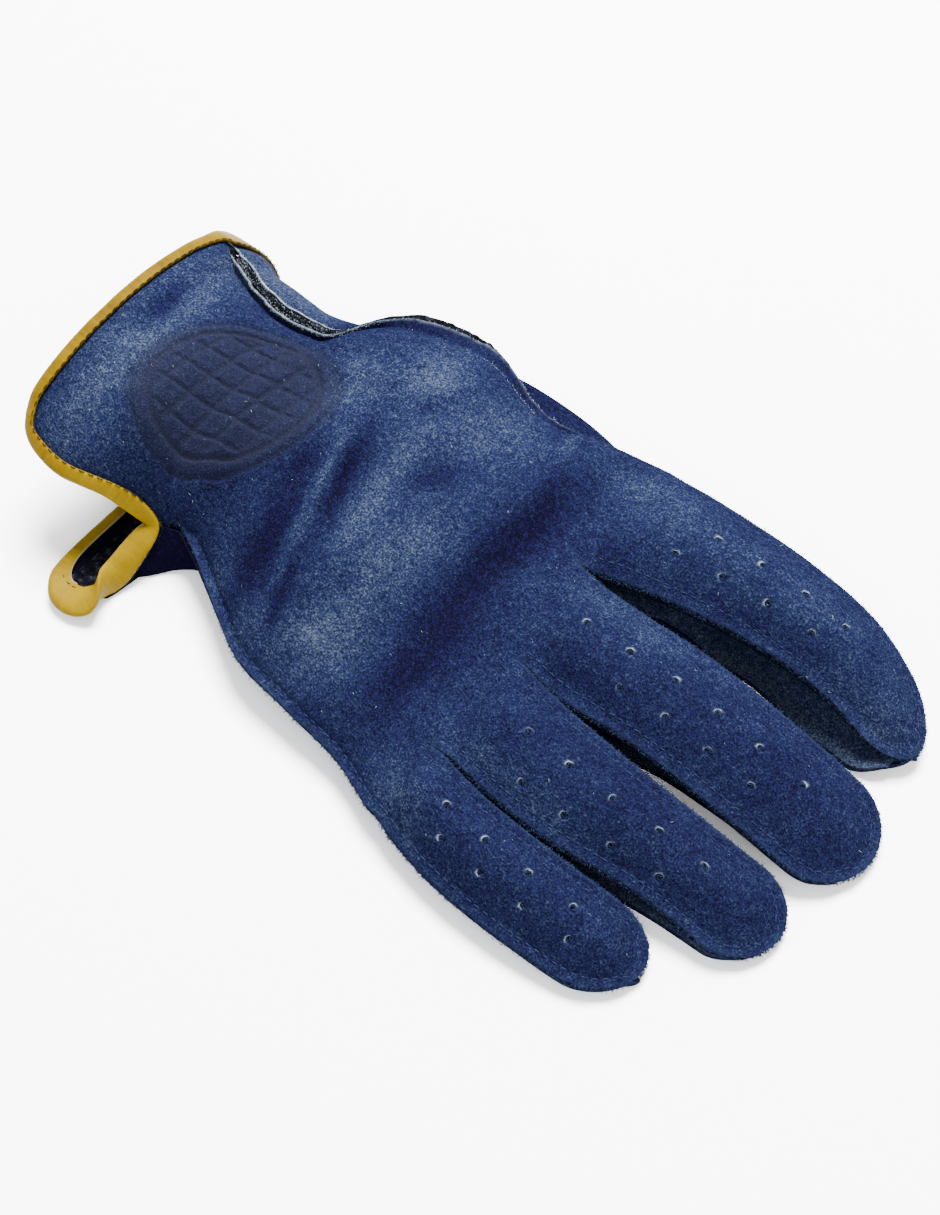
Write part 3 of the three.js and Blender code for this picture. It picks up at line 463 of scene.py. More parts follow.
# The back's cuff edge curves in at the little finger's side
CUFF_CORNER = {"depth": 5.5, "width": 0.4}


def fork_x(c):
    return np.interp(c, FORK_AT, FORK_XS)


def cuff_x(c):
    return CUFF_X + CUFF_CORNER["depth"] * np.maximum(0, 1 - c / CUFF_CORNER["width"]) ** 2


def towards_forks(x):
    return ease((x - CUFF_X) / (FORK_X - CUFF_X))


def share_across(c, x):
    """The share of the way from one root to the other."""
    even = (c - BRIM_SHARE) / (4 - 2 * BRIM_SHARE)
    forked = (np.interp(c, FORK_AT, FORK_YS) - FORK_YS[0]) / (FORK_YS[-1] - FORK_YS[0])
    return np.clip(lerp(even, forked, towards_forks(x)), 0, 1)


def hills(rows, x, y):
    """Height of a table of long soft hills and dents."""
    rise = 0.0
    for px, py, long, wide, degrees, height in zip(*rows.values()):
        turn = math.radians(degrees)
        dx, dy = x - px, y - py
        s = (dx * math.cos(turn) + dy * math.sin(turn)) / long
        t = (dy * math.cos(turn) - dx * math.sin(turn)) / wide
        rise = rise + height * np.exp(-s * s - t * t)
    return rise


def emblem_place(x, y):
    """Place in the oval: along its long and short axes in millimetres, and 1 at its rim."""
    turn = math.radians(EMBLEM["turn"])
    dx, dy = x - EMBLEM["x"], y - EMBLEM["y"]
    s = dx * math.cos(turn) + dy * math.sin(turn)
    t = dy * math.cos(turn) - dx * math.sin(turn)
    return s, t, np.hypot(s / EMBLEM["long"], t / EMBLEM["wide"])


def emblem_lines(x, y):
    """1 on the oval's pressed lines: its rim and the lattice inside it."""
    s, t, r = emblem_place(x, y)
    size = (EMBLEM["long"] + EMBLEM["wide"]) / 2
    rim = sum(
        np.exp(-(((r - ring) * size) / EMBLEM["rim_width"]) ** 2) for ring in EMBLEM["rims"]
    )
    step, slant = EMBLEM["lattice"], EMBLEM["slant"]
    lines = 0.0
    for side in (-1, 1):
        place = (s * slant + side * t) / step
        off = np.abs(place - np.round(place)) * step / math.hypot(slant, 1)
        lines = np.maximum(lines, np.exp(-((off / EMBLEM["line"]) ** 2)))
    inside = 1 - ease((r - EMBLEM["rims"][1] + EMBLEM["lattice_gap"]) / EMBLEM["lattice_fade"])
    return np.maximum(rim, EMBLEM["line_depth"] * lines * inside)


def inside_emblem(x, y):
    """1 inside the oval, falling to 0 just beyond its rim."""
    _, _, r = emblem_place(x, y)
    return 1 - ease((r - EMBLEM["edge"]) / EMBLEM["edge_fade"])


def emblem_relief(x, y):
    return EMBLEM["swell"] * inside_emblem(x, y) - EMBLEM["depth"] * emblem_lines(x, y)


# How uneven the leather's face is and how much the wrist's raw edges wave, in millimetres, by
# long and by short ripples
BACK_UNEVEN = {"long": 0.16, "short": 0.05}
FINGER_UNEVEN = {"long": 0.22, "short": 0.05}
EDGE_RIPPLE = {"long": 0.75, "short": 0.25}
# The two raw edges wave on their own, each by its seed
BACK_EDGE, PALM_EDGE = 11, 12
# How full the back arches between the two seams
HAND_ARCH = 0.6


def back_height(x, y):
    """All the shapes that stand out of or into the back."""
    small = BACK_UNEVEN["long"] * waves(x, y, [19, 11], 3)
    small = small + BACK_UNEVEN["short"] * waves(x, y, [5.5], 4)
    return hills(FOLDS, x, y) + hills(CREASES, x, y) + emblem_relief(x, y) + small


def ripple(x, seed):
    """How one of the wrist's raw edges waves, in millimetres off its plane."""
    free = radial_shown(x) * (1 - ease((x - WELT_END_X + 6) / 10))
    long = EDGE_RIPPLE["long"] * waves(x, 0 * x, [15, 8], seed)
    return free * (long + EDGE_RIPPLE["short"] * waves(x, 0 * x, [3.6], seed))


def back_point(c, v):
    """The outer face of the back, at column c and place v from the cuff to the forks."""
    c, v = np.broadcast_arrays(np.asarray(c, float), np.asarray(v, float))
    x = lerp(cuff_x(c), fork_x(c), v)
    low, high = ulnar_frame(x), radial_frame(x)
    ulnar = lerp(low["edge"], low["root"], col(np.clip(c / BRIM_SHARE, 0, 1)))
    out = np.clip(1 - (4 - c) / BRIM_SHARE, 0, 1)
    radial = lerp(high["root"], high["edge"], col(out))
    radial = radial + high["down"] * col(ripple(x, BACK_EDGE) * out)
    t = share_across(c, x)
    p = lerp(low["root"], high["root"], col(t))
    arch = np.sin(math.pi * t) ** HAND_ARCH
    lifted = along(HAND, "crown", x) * arch + back_height(x, p[..., 0]) * np.minimum(1, 3 * arch)
    p = p + flat(0, 1) * col(lifted)
    p = np.where(col(c) < BRIM_SHARE, ulnar, p)
    p = np.where(col(c) > 4 - BRIM_SHARE, radial, p)
    return space(x, p)


# Fingers

BRIM_U = 2 * BRIM_SHARE
# The share of a finger over which the fork's shape becomes the finger's own
FORK_BLEND = 0.12
# A tip's outline is nearly a half ellipse, and the palm side ends a little before the back's
TIP_ROUND = 0.999
PALM_SHORT = 0.8
# The least and most of a tip's half width inside its seam allowance, and where the allowance's
# slope starts to flatten and over what length, in lengths of the tip
TIP = {"least": 0.45, "most": 0.8, "flat_from": 2.2, "flat_over": 1.4}
# How high and how full the leather arches between a finger's seams
FINGER_ARCH = {"height": 0.8, "power": 1.15}


def finger_frame(finger, x):
    """A finger's middle, its half widths at edge and root, and its seam's slope, at x."""
    rows, tip = finger["rows"], finger["tip"]
    end = rows["x"][-1]
    low, high = along(rows, "low", x), along(rows, "high", x)
    into = np.clip((x - end + tip) / tip, 0, 1)
    inner = np.clip((x - end + tip) / (tip - BRIM), 0, 1)
    half = (high - low) / 2
    edge = half * np.sqrt(1 - (TIP_ROUND * into) ** 2)
    root = (half - BRIM) * np.sqrt(1 - inner * inner)
    root = np.clip(root, TIP["least"] * edge, TIP["most"] * edge)
    tilt = 1 - ease((x - end + TIP["flat_from"] * tip) / (TIP["flat_over"] * tip))
    return {
        "middle": (low + high) / 2, "half": half, "edge": edge, "root": root,
        "inner": inner, "tilt": tilt,
    }


def finger_back(k, u, f):
    """The outer face of a finger's back: u runs from -1 to 1 across, f from fork to tip."""
    u, f = np.broadcast_arrays(np.asarray(u, float), np.asarray(f, float))
    finger = FINGERS[k]
    rows = finger["rows"]
    start = back_point(k + (u + 1) / 2, 1.0)
    x = lerp(start[..., 0], rows["x"][-1], f)
    place = finger_frame(finger, x)
    size = np.abs(u)
    reach = np.where(
        size > 1 - BRIM_U,
        lerp(place["root"], place["edge"], (size - 1 + BRIM_U) / BRIM_U),
        place["root"] * size / (1 - BRIM_U),
    )
    offset = np.sign(u) * reach
    share = (offset / place["half"] + 1) / 2
    in_low = np.minimum(BRIM, offset + place["edge"])
    in_high = np.minimum(BRIM, place["edge"] - offset)
    low_fall = in_low * np.tan(np.radians(finger["low_tilt"] * place["tilt"]))
    high_fall = in_high * np.tan(np.radians(finger["high_tilt"] * place["tilt"]))
    low = along(rows, "low_z", x) - low_fall
    high = along(rows, "high_z", x) - high_fall
    far = np.hypot(offset / (place["half"] - BRIM), place["inner"])
    arch = FINGER_ARCH["height"] * np.maximum(0, 1 - far * far) ** FINGER_ARCH["power"]
    small = FINGER_UNEVEN["long"] * waves(x, offset, [16, 9], 20 + k)
    small = small + FINGER_UNEVEN["short"] * waves(x, offset, [4.5], 30 + k)
    z = lerp(low, high, share) + (along(rows, "crown", x) + small) * arch
    blend = ease(f / FORK_BLEND)
    y = place["middle"] + offset
    return space(x, flat(lerp(start[..., 1], y, blend), lerp(start[..., 2], z, blend)))


# Palm


def palm_lift(x, y):
    """The floor's height over the folded thumb."""
    x, y = np.broadcast_arrays(np.asarray(x, float), np.asarray(y, float))
    nearest = np.full(x.shape, np.inf)
    height = np.zeros(x.shape)
    px, py, tall = THUMB["x"], THUMB["y"], THUMB["height"]
    for i in range(2, len(px) - 2):
        dx, dy = px[i + 1] - px[i], py[i + 1] - py[i]
        t = np.clip(((x - px[i]) * dx + (y - py[i]) * dy) / (dx * dx + dy * dy), 0, 1)
        distance = np.hypot(x - px[i] - t * dx, y - py[i] - t * dy)
        closer = distance < nearest
        nearest = np.where(closer, distance, nearest)
        height = np.where(closer, lerp(tall[i], tall[i + 1], t) + GAP, height)
    return height * (1 - ease((nearest - THUMB_LIFT["reach"]) / THUMB_LIFT["fade"]))


# The share of a side wall's columns that its seam allowance takes
ROOT_W = 0.25


def side_point(edge, root, down, bulge, floor, side, w):
    """One side of the palm, from its edge (w = 0) over the root to its floor (w = 1)."""
    t = col(np.clip((w - ROOT_W) / (1 - ROOT_W), 0, 1))
    a = root
    b = root + down * col(bulge)
    c = floor + flat(side * bulge * FLOOR_LEAN, 0)
    wall = (1 - t) ** 3 * a + 3 * (1 - t) ** 2 * t * b + 3 * (1 - t) * t * t * c + t ** 3 * floor
    return np.where(col(w) < ROOT_W, lerp(edge, root, col(w / ROOT_W)), wall)


APEX = ulnar_frame(NOTCH_X)["palm_edge"]
TONGUE_EDGE = table(["x", "y", "z"], *TONGUE, [NOTCH_X, APEX[0], APEX[1]])
# Beside the slit the palm's side stands out under the seam
FLARE = {"x": -82.0, "reach": 9.0, "out": 15.0}


def palm_frame(x, rise=0.0):
    """The palm's two seams at x, the tongue's edge in their place, and where its floor ends."""
    low, high = ulnar_frame(x), radial_frame(x)
    sewn = ease((x - NOTCH_X + APEX_REACH) / APEX_REACH)
    tongue = flat(along(TONGUE_EDGE, "y", x), along(TONGUE_EDGE, "z", x))
    free = col(x) < NOTCH_X
    low_edge = np.where(free, tongue, low["palm_edge"])
    low_root = np.where(free, tongue + low["down"] * TUCK, low["palm_root"])
    inset = lerp(TONGUE_INSET, along(PALM_SIDES, "ulnar_inset", x), sewn)
    inset = inset - sewn * FLARE["out"] * np.exp(-(((x - FLARE["x"]) / FLARE["reach"]) ** 2))
    low_floor = flat(low_edge[..., 0] + inset, rise)
    high_floor_y = along(PALM_SIDES, "radial_floor", x)
    high_floor = flat(high_floor_y, palm_lift(x, high_floor_y) + rise)
    return {
        "low": low, "high": high, "low_edge": low_edge, "low_root": low_root,
        "low_floor": low_floor, "high_floor": high_floor, "sewn": sewn,
    }


def palm_fork_x(c):
    return fork_x(np.clip(c, BRIM_SHARE, 4 - BRIM_SHARE))


def palm_cuff_x(c):
    return along(PALM_CUFF, "x", c, "at")


# The share of the palm's length over which the tongue's slanted end straightens
TIP_V = 0.06


def palm_x(c, v):
    """How far along the glove the palm's columns and rows lie."""
    tip = (palm_cuff_x(c) - palm_cuff_x(0.0)) * np.maximum(0, 1 - v / TIP_V)
    return lerp(palm_cuff_x(np.maximum(0, c)), palm_fork_x(c), v) + np.where(c < 0, tip, 0)


SIDE_FRAME = palm_frame(np.array(SIDE_X))
PALM_FORK_YS = np.array([
    SIDE_FRAME["low_floor"][0], *FORKS["y"], SIDE_FRAME["high_floor"][0],
])


def palm_point(c, v):
    """The outer face of the palm: columns below 0 and above 4 are its two side walls."""
    c, v = np.broadcast_arrays(np.asarray(c, float), np.asarray(v, float))
    x = palm_x(c, v)
    rise = CUFF_RISE["height"] * (1 - ease((x - palm_cuff_x(c)) / CUFF_RISE["fade"]))
    place = palm_frame(x, rise)
    low, high = place["low"], place["high"]
    bulge = np.minimum(LOW_BULGE["share"] * place["low_root"][..., 1], LOW_BULGE["most"])
    w = np.clip(c + 1, 0, 1)
    wall = side_point(
        place["low_edge"], place["low_root"], low["down"], bulge, place["low_floor"], -1, w,
    )
    lip = flat(
        lerp(place["low_edge"][..., 0], place["low_floor"][..., 0], w),
        lerp(place["low_edge"][..., 1], rise, ease(w)),
    )
    ulnar = lerp(lip, wall, col(place["sewn"]))
    w = np.clip(5 - c, 0, 1)
    palm_edge = high["palm_edge"] + high["down"] * col(ripple(x, PALM_EDGE))
    radial = side_point(
        palm_edge, high["palm_root"], high["down"], along(PALM_SIDES, "bulge", x),
        place["high_floor"], 1, w,
    )
    forked = (np.interp(c, range(5), PALM_FORK_YS) - PALM_FORK_YS[0]) / np.ptp(PALM_FORK_YS)
    t = lerp(np.clip(c / 4, 0, 1), forked, towards_forks(x))
    y = lerp(place["low_floor"][..., 0], place["high_floor"][..., 0], t)
    p = flat(y, palm_lift(x, y) + rise)
    p = np.where(col(c) < 0, ulnar, p)
    p = np.where(col(c) > 4, radial, p)
    return space(x, p)


def finger_palm(k, c, f):
    """The outer face of a finger's palm side, which turns up to the back at the tip."""
    c, f = np.broadcast_arrays(np.asarray(c, float), np.asarray(f, float))
    finger = FINGERS[k]
    rows, tip = finger["rows"], finger["tip"]
    start = palm_point(c, 1.0)
    end = rows["x"][-1]
    x = lerp(start[..., 0], end, f)
    place = finger_frame(finger, x)
    tip_z = min(rows["low_z"][-1], rows["high_z"][-1]) - CLOSED_SPREAD
    turn_up = ease((x - end + tip) / tip)
    floor_z = max(0, tip_z) * turn_up + palm_lift(x, place["middle"]) * (1 - turn_up)
    low, high = place["middle"] - place["half"], place["middle"] + place["half"]
    sides = []
    for side, edge_y, edge_z, tilt, inset, bulge, w in (
        (-1, low, "low_z", "low_tilt", FINGER_SIDE["low_inset"], FINGER_SIDE["low_bulge"], c + 1),
        (1, high, "high_z", "high_tilt", -FINGER_SIDE["high_inset"],
         FINGER_SIDE["high_bulge"] * (1 - FINGER_SIDE["tip_flatter"] * turn_up), 5 - c),
    ):
        edge = flat(edge_y, along(rows, edge_z, x))
        s = seam(edge, finger[tilt] * place["tilt"], side, 1, BRIM, CLOSED_SPREAD)
        floor = flat(edge_y + inset, floor_z)
        sides.append(side_point(
            s["palm_edge"], s["palm_root"], s["down"], bulge * np.ones_like(x), floor, side,
            np.clip(w, 0, 1),
        ))
    left = low + (FINGER_SIDE["low_inset"] if k == 0 else 0)
    right = high - (FINGER_SIDE["high_inset"] if k == 3 else 0)
    share = np.clip(c - k, 0, 1)
    edge_rise = np.where(share < 0.5, along(rows, "low_z", x), along(rows, "high_z", x))
    highest = floor_z + FINGER_SIDE["raised"]
    raised = np.maximum(floor_z, np.minimum(edge_rise - CLOSED_SPREAD, highest))
    near_edge = np.abs(2 * share - 1)
    p = flat(lerp(left, right, share), lerp(floor_z, raised, near_edge * turn_up))
    p = np.where(col(c) < 0, sides[0], p)
    p = np.where(col(c) > 4, sides[1], p)
    y = place["middle"] + (p[..., 0] - place["middle"]) * place["edge"] / place["half"]
    across = np.clip((y - low) / (high - low), 0, 1)
    tuck = along(rows, "tuck", x) * np.sqrt(place["edge"] / place["half"])
    y = y + tuck * (1 - across) ** 2
    blend = ease(f / FORK_BLEND)
    y, z = lerp(start[..., 1], y, blend), lerp(start[..., 2], p[..., 1], blend)
    return space(x - PALM_SHORT * turn_up, flat(y, z))


# Meshes


def linear(hex_colour):
    """An sRGB hex colour as linear light, with full alpha."""
    parts = [int(hex_colour[i:i + 2], 16) / 255 for i in (1, 3, 5)]
    return [p / 12.92 if p <= 0.04045 else ((p + 0.055) / 1.055) ** 2.4 for p in parts] + [1.0]


def make_piece(name, points, faces, material, marks=None):
    """A piece from points in pattern millimetres, none below the table, and equal faces."""
    mesh = bpy.data.meshes.new(name)
    points = np.array(points, float)
    points[:, 2] = np.maximum(points[:, 2], 0)
    mesh.from_pydata(((points + PATTERN_ORIGIN) * MM).tolist(), [], faces.tolist())
    mesh.update()
    for mark, values in (marks or {}).items():
        attribute = mesh.attributes.new(mark, "FLOAT", "POINT")
        attribute.data.foreach_set("value", np.asarray(values, np.float32))
    mesh.materials.append(material)
    mesh.shade_smooth()
    piece = bpy.data.objects.new(name, mesh)
    bpy.context.scene.collection.objects.link(piece)
    return piece


class Sheet:
    """Grids of points welded into one surface, then closed into a sheet of even thickness."""

    def __init__(self, thickness):
        self.thickness = thickness
        self.grids = []

    def grid(self, points, flip=False, **marks):
        self.grids.append((points, flip, marks))
        return self

    def weld(self):
        """Joins points that coincide, and keeps each grid's own numbers for them."""
        every = np.concatenate([points.reshape(-1, 3) for points, _, _ in self.grids])
        keys = np.round(every * 1e4).astype(np.int64)
        _, first, where = np.unique(keys, axis=0, return_index=True, return_inverse=True)
        where = where.reshape(-1)
        self.points = every[first]
        names = self.grids[0][2].keys()
        self.marks = {
            name: np.concatenate([
                np.broadcast_to(marks[name], points.shape[:2]).reshape(-1)
                for points, _, marks in self.grids
            ])[first]
            for name in names
        }
        self.ids, faces, at = [], [], 0
        for points, flip, _ in self.grids:
            count = points.shape[0] * points.shape[1]
            ids = where[at:at + count].reshape(points.shape[:2])
            at += count
            quads = np.stack([ids[:-1, :-1], ids[1:, :-1], ids[1:, 1:], ids[:-1, 1:]], -1)
            quads = quads.reshape(-1, 4)
            faces.append(quads[:, ::-1] if flip else quads)
            self.ids.append(ids)
        self.faces = np.concatenate(faces)
        self.normals = self.measure_normals()
        return self

    def measure_normals(self):
        a, b, c, d = (self.points[self.faces[:, i]] for i in range(4))
        face_normals = np.cross(c - a, d - b)
        sums = np.zeros_like(self.points)
        for i in range(4):
            np.add.at(sums, self.faces[:, i], face_normals)
        return unit(sums)

    def punch(self, centres, radius):
        """Cuts round holes through the surface and marks their rims."""
        middles = self.points[self.faces].mean(1)
        rim = np.zeros(len(self.points))
        for centre in centres:
            gone = np.linalg.norm(middles - centre, axis=1) < radius
            kept = self.faces[~gone]
            ring = np.intersect1d(np.unique(self.faces[gone]), np.unique(kept))
            spoke = self.points[ring] - centre
            normal = self.normals[np.argmin(np.linalg.norm(self.points - centre, axis=1))]
            height = col(spoke @ normal) * normal
            self.points[ring] = centre + unit(spoke - height) * radius + height
            # A frayed rim shows pale, with painted highlight mostly on its side towards the wrist
            # and the thumb, where the light comes from
            lit = unit(spoke - height) @ unit(random.normal([-0.6, 0.6, 0], 0.5, 3))
            rim[ring] = np.clip(0.5 + 0.6 * lit, 0, 1)
            self.faces, middles = kept, middles[~gone]
        self.marks["rim"] = rim
        return self

    def open_edges(self):
        """Edges that only one face has, in that face's order."""
        pairs = np.concatenate([
            np.stack([self.faces[:, i], self.faces[:, (i + 1) % 4]], 1) for i in range(4)
        ])
        n = len(self.points)
        code = pairs[:, 0].astype(np.int64) * n + pairs[:, 1]
        back = pairs[:, 1].astype(np.int64) * n + pairs[:, 0]
        return pairs[~np.isin(code, back)]

    def piece(self, name, material, depth=None, painted_inside_shade=1.0):
        """The outer face, the inner face and the walls between their edges, as one piece."""
        n = len(self.points)
        inner = self.points - self.normals * (self.thickness if depth is None else col(depth))
        edges = self.open_edges()
        walls = np.stack([edges[:, 1], edges[:, 0], edges[:, 0] + n, edges[:, 1] + n], 1)
        faces = np.concatenate([self.faces, self.faces[:, ::-1] + n, walls])
        marks = {key: np.concatenate([m, m]) for key, m in self.marks.items()}
        # The inner faces are marked for their painted shade
        marks["painted_inside_shade"] = np.concatenate([np.zeros(n), painted_inside_shade * np.ones(n)])
        return make_piece(name, np.concatenate([self.points, inner]), faces, material, marks)

    def under(self, patch, distance):
        """Points of a patch of the first grid, moved in under the surface."""
        ids = self.ids[0][patch]
        return self.points[ids] - self.normals[ids] * distance


def tube_faces(steps, sides):
    """Faces round a tube from ring to ring, with both its ends closed."""
    first = np.arange(steps - 1)[:, None] * sides
    j = np.arange(sides)
    k = (j + 1) % sides
    quads = np.stack([first + j, first + k, first + sides + k, first + sides + j], -1)
    end = (steps - 1) * sides
    caps = [[0, i + 2, i + 1, i] for i in range(1, sides - 2, 2)]
    caps += [[end, end + i, end + i + 1, end + i + 2] for i in range(1, sides - 2, 2)]
    return np.concatenate([quads.reshape(-1, 4), np.array(caps)])


# Strands that come nearer to the table than this are left out
TABLE_CLEARANCE = 0.15


def strands(name, paths, radii, sides, material, marks=None):
    """Closed thin tubes along many paths of equally many points, in one piece."""
    radii = np.broadcast_to(radii, paths.shape[:2])
    clear = paths[..., 2].min(1) > TABLE_CLEARANCE
    marks = {key: np.asarray(m)[clear] for key, m in (marks or {}).items()}
    paths, radii = paths[clear], radii[clear]
    count, steps, _ = paths.shape
    ahead = unit(np.gradient(paths, axis=1))
    up = np.where(np.abs(ahead[..., 2:]) < 0.9, [0.0, 0.0, 1.0], [1.0, 0.0, 0.0])
    across = unit(np.cross(ahead, up))
    above = np.cross(across, ahead)
    angle = 2 * math.pi * np.arange(sides) / sides
    ring = (
        across[:, :, None] * np.cos(angle)[:, None] + above[:, :, None] * np.sin(angle)[:, None]
    )
    points = paths[:, :, None] + ring * radii[:, :, None, None]
    faces = (np.arange(count) * steps * sides)[:, None, None] + tube_faces(steps, sides)
    marks = {key: np.repeat(m, steps * sides) for key, m in marks.items()}
    return make_piece(name, points.reshape(-1, 3), faces.reshape(-1, 4), material, marks)


# Materials


def node(tree, kind, inputs=None, out=0, stops=(), **settings):
    """Adds a node, its settings, colour stops and inputs, and gives one of its outputs."""
    made = tree.nodes.new("ShaderNode" + kind)
    for key, value in settings.items():
        setattr(made, key, value)
    for key, value in (inputs or {}).items():
        if isinstance(value, bpy.types.NodeSocket):
            tree.links.new(value, made.inputs[key])
        else:
            made.inputs[key].default_value = value
    for i, (place, colour) in enumerate(stops):
        if i > 1:
            made.color_ramp.elements.new(place)
        made.color_ramp.elements[i].position = place
        made.color_ramp.elements[i].color = linear(colour)
    return made.outputs[out] if len(made.outputs) else None


def new_material(name):
    material = bpy.data.materials.new(name)
    material.use_nodes = True
    material.node_tree.nodes.clear()
    return material, material.node_tree


def finish_material(tree, shader_inputs, height, depth_mm):
    bump = node(tree, "Bump", {"Height": height, "Distance": depth_mm * MM, "Strength": 1.0})
    shader = node(tree, "BsdfPrincipled", {**shader_inputs, "Normal": bump})
    node(tree, "OutputMaterial", {"Surface": shader})


# Sizes of grains and stains, in millimetres, drawn a little coarser than life where the
# real ones are too fine to see
GRAIN = {
    "nap": 0.5, "tuft": 1.6, "violet": 0.9, "pore": 0.45, "stain": 6.0, "loop": 0.6,
    "clump": 2.2, "twist": 0.3, "card": 0.8,
}


def navy_suede():
    """Split leather with a brushed nap.

    The eye sees no gloss: short fibres make a fine speckle, lying dusty blue-grey where they
    are stroked over and deep violet navy where they stand up. Pressed places are flat and
    brownish, cut edges a little ragged, and the outseam's bare edges nearly white.
    """
    material, tree = new_material("navy_suede")
    place = node(tree, "TexCoord", out="Object")
    nap, pressed, rim, cut, pale, painted_inside_shade = [
        node(tree, "Attribute", out="Fac", attribute_name=mark)
        for mark in ("nap", "pressed", "rim", "cut", "pale", "painted_inside_shade")
    ]
    fibre, tuft, speck = [
        node(tree, "TexNoise", {
            "Vector": place, "Scale": 1 / (GRAIN[grain] * MM), "Detail": detail,
            "Roughness": roughness,
        })
        for grain, detail, roughness in (
            ("nap", 2.0, 0.65), ("tuft", 2.0, 0.6), ("violet", 1.0, 0.5),
        )
    ]
    light = node(tree, "Math", {0: nap, 1: 1.22}, operation="SUBTRACT")
    light = node(tree, "Math", {0: fibre, 1: 1.8, 2: light}, operation="MULTIPLY_ADD")
    light = node(tree, "Math", {0: tuft, 1: 0.62, 2: light}, operation="MULTIPLY_ADD")
    colour = node(tree, "ValToRGB", {"Fac": light}, stops=[
        (0.0, "#05040e"), (0.22, "#08091a"), (0.45, "#0c1122"), (0.65, "#161c2c"),
        (0.85, "#252b36"), (1.0, "#313743"),
    ])
    violet = node(tree, "ValToRGB", {"Fac": speck}, stops=[
        (0.5, "#000000"), (0.72, "#a0a0a0"),
    ])
    flat_fibres = node(tree, "Math", {0: pressed, 1: 0.85}, operation="MULTIPLY")
    # Perforations' rims: pale frayed fibres with painted highlight on one side
    frayed_and_lit_rim = node(tree, "Math", {0: rim, 1: 4.0}, operation="POWER")
    ragged = node(tree, "Math", {0: cut, 1: tuft}, operation="MULTIPLY")
    # Painted shade: the inner faces turn near black
    inner = node(tree, "Math", {0: painted_inside_shade, 1: 0.9}, operation="MULTIPLY")
    broken = node(tree, "Math", {0: tuft, 1: 3.0, 2: -0.75}, operation="MULTIPLY_ADD")
    thin = node(tree, "Math", {0: pale, 1: 2.0}, operation="POWER")
    thin = node(tree, "Math", {0: painted_inside_shade, 1: -1.0, 2: thin}, operation="MULTIPLY_ADD")
    bare = node(tree, "Math", {0: thin, 1: broken}, operation="MULTIPLY", use_clamp=True)
    for where, shade in (
        (violet, "#0e082c"), (flat_fibres, "#12131c"), (frayed_and_lit_rim, "#667080"),
        (ragged, "#161c2d"), (inner, "#050509"), (bare, "#6d7578"),
    ):
        colour = node(
            tree, "Mix", {0: where, 6: colour, 7: linear(shade)}, 2, data_type="RGBA",
        )
    relief = node(tree, "Math", {0: fibre, 1: 0.8, 2: tuft}, operation="MULTIPLY_ADD")
    finish_material(tree, {
        "Base Color": colour, "Roughness": 0.95, "IOR": 1.45, "Specular IOR Level": 0.0,
    }, relief, 0.35)
    return material


def yellow_leather():
    """Smooth dyed strip leather.

    The eye sees a warm even yellow with a soft gloss along the fold, fine cross wrinkles
    where the strip turns, with painted shade in their troughs, darker pores and a pale line
    where its edge was cut. The top of the cuff carries painted shade.
    """
    material, tree = new_material("yellow_strip_leather")
    place = node(tree, "TexCoord", out="Object")
    crease, raw = [
        node(tree, "Attribute", out="Fac", attribute_name=mark) for mark in ("crease", "raw")
    ]
    pore, stain = [
        node(tree, "TexNoise", {
            "Vector": place, "Scale": 1 / (GRAIN[grain] * MM), "Detail": 3.0, "Roughness": 0.6,
        })
        for grain in ("pore", "stain")
    ]
    light = node(tree, "Math", {0: stain, 1: 0.5, 2: 0.1}, operation="MULTIPLY_ADD")
    light = node(tree, "Math", {0: pore, 1: 0.3, 2: light}, operation="MULTIPLY_ADD")
    # The colour follows the wrinkles: painted shade in their troughs and painted light on their
    # ridges; the same mark carries the cuff's painted shade
    light = node(tree, "Math", {0: crease, 1: 0.45, 2: light}, operation="MULTIPLY_ADD")
    colour = node(tree, "ValToRGB", {"Fac": light}, stops=[
        (0.1, "#3a2a00"), (0.4, "#4e3c00"), (0.65, "#564400"), (0.9, "#5f4c00"),
    ])
    cut_edge = node(tree, "Math", {0: raw, 1: 3.0}, operation="POWER")
    colour = node(
        tree, "Mix", {0: cut_edge, 6: colour, 7: linear("#6c6248")}, 2, data_type="RGBA",
    )
    relief = node(tree, "Math", {0: crease, 1: 1.5, 2: pore}, operation="MULTIPLY_ADD")
    finish_material(tree, {
        "Base Color": colour, "Roughness": 0.45, "IOR": 1.5, "Specular IOR Level": 0.02,
    }, relief, 0.1)
    return material


def black_fleece():
    """Napped knit: the eye sees matt black loops, a little lighter on the clumps' tops as painted
    highlight.
    """
    material, tree = new_material("black_fleece")
    place = node(tree, "TexCoord", out="Object")
    loop, clump = [
        node(tree, "TexNoise", {
            "Vector": place, "Scale": 1 / (GRAIN[grain] * MM), "Detail": 2.0, "Roughness": 0.6,
        })
        for grain in ("loop", "clump")
    ]
    relief = node(tree, "Math", {0: loop, 1: 0.6, 2: clump}, operation="MULTIPLY_ADD")
    # The colour follows the relief: painted highlight on the raised tops
    colour = node(tree, "ValToRGB", {"Fac": relief}, stops=[
        (0.55, "#020203"), (0.85, "#07070b"), (1.1, "#1a1b22"),
    ])
    finish_material(tree, {
        "Base Color": colour, "Roughness": 1.0, "IOR": 1.5, "Specular IOR Level": 0.0,
    }, relief, 0.6)
    return material


def sewing_thread(name, dark, light):
    """Twisted thread: the eye sees small rounded stitches, lighter and darker by the twist."""
    material, tree = new_material(name)
    place = node(tree, "TexCoord", out="Object")
    twist = node(tree, "TexNoise", {
        "Vector": place, "Scale": 1 / (GRAIN["twist"] * MM), "Detail": 1.0, "Roughness": 0.5,
    })
    colour = node(tree, "ValToRGB", {"Fac": twist}, stops=[(0.3, dark), (0.7, light)])
    finish_material(tree, {
        "Base Color": colour, "Roughness": 0.6, "IOR": 1.5, "Specular IOR Level": 0.05,
    }, twist, 0.05)
    return material


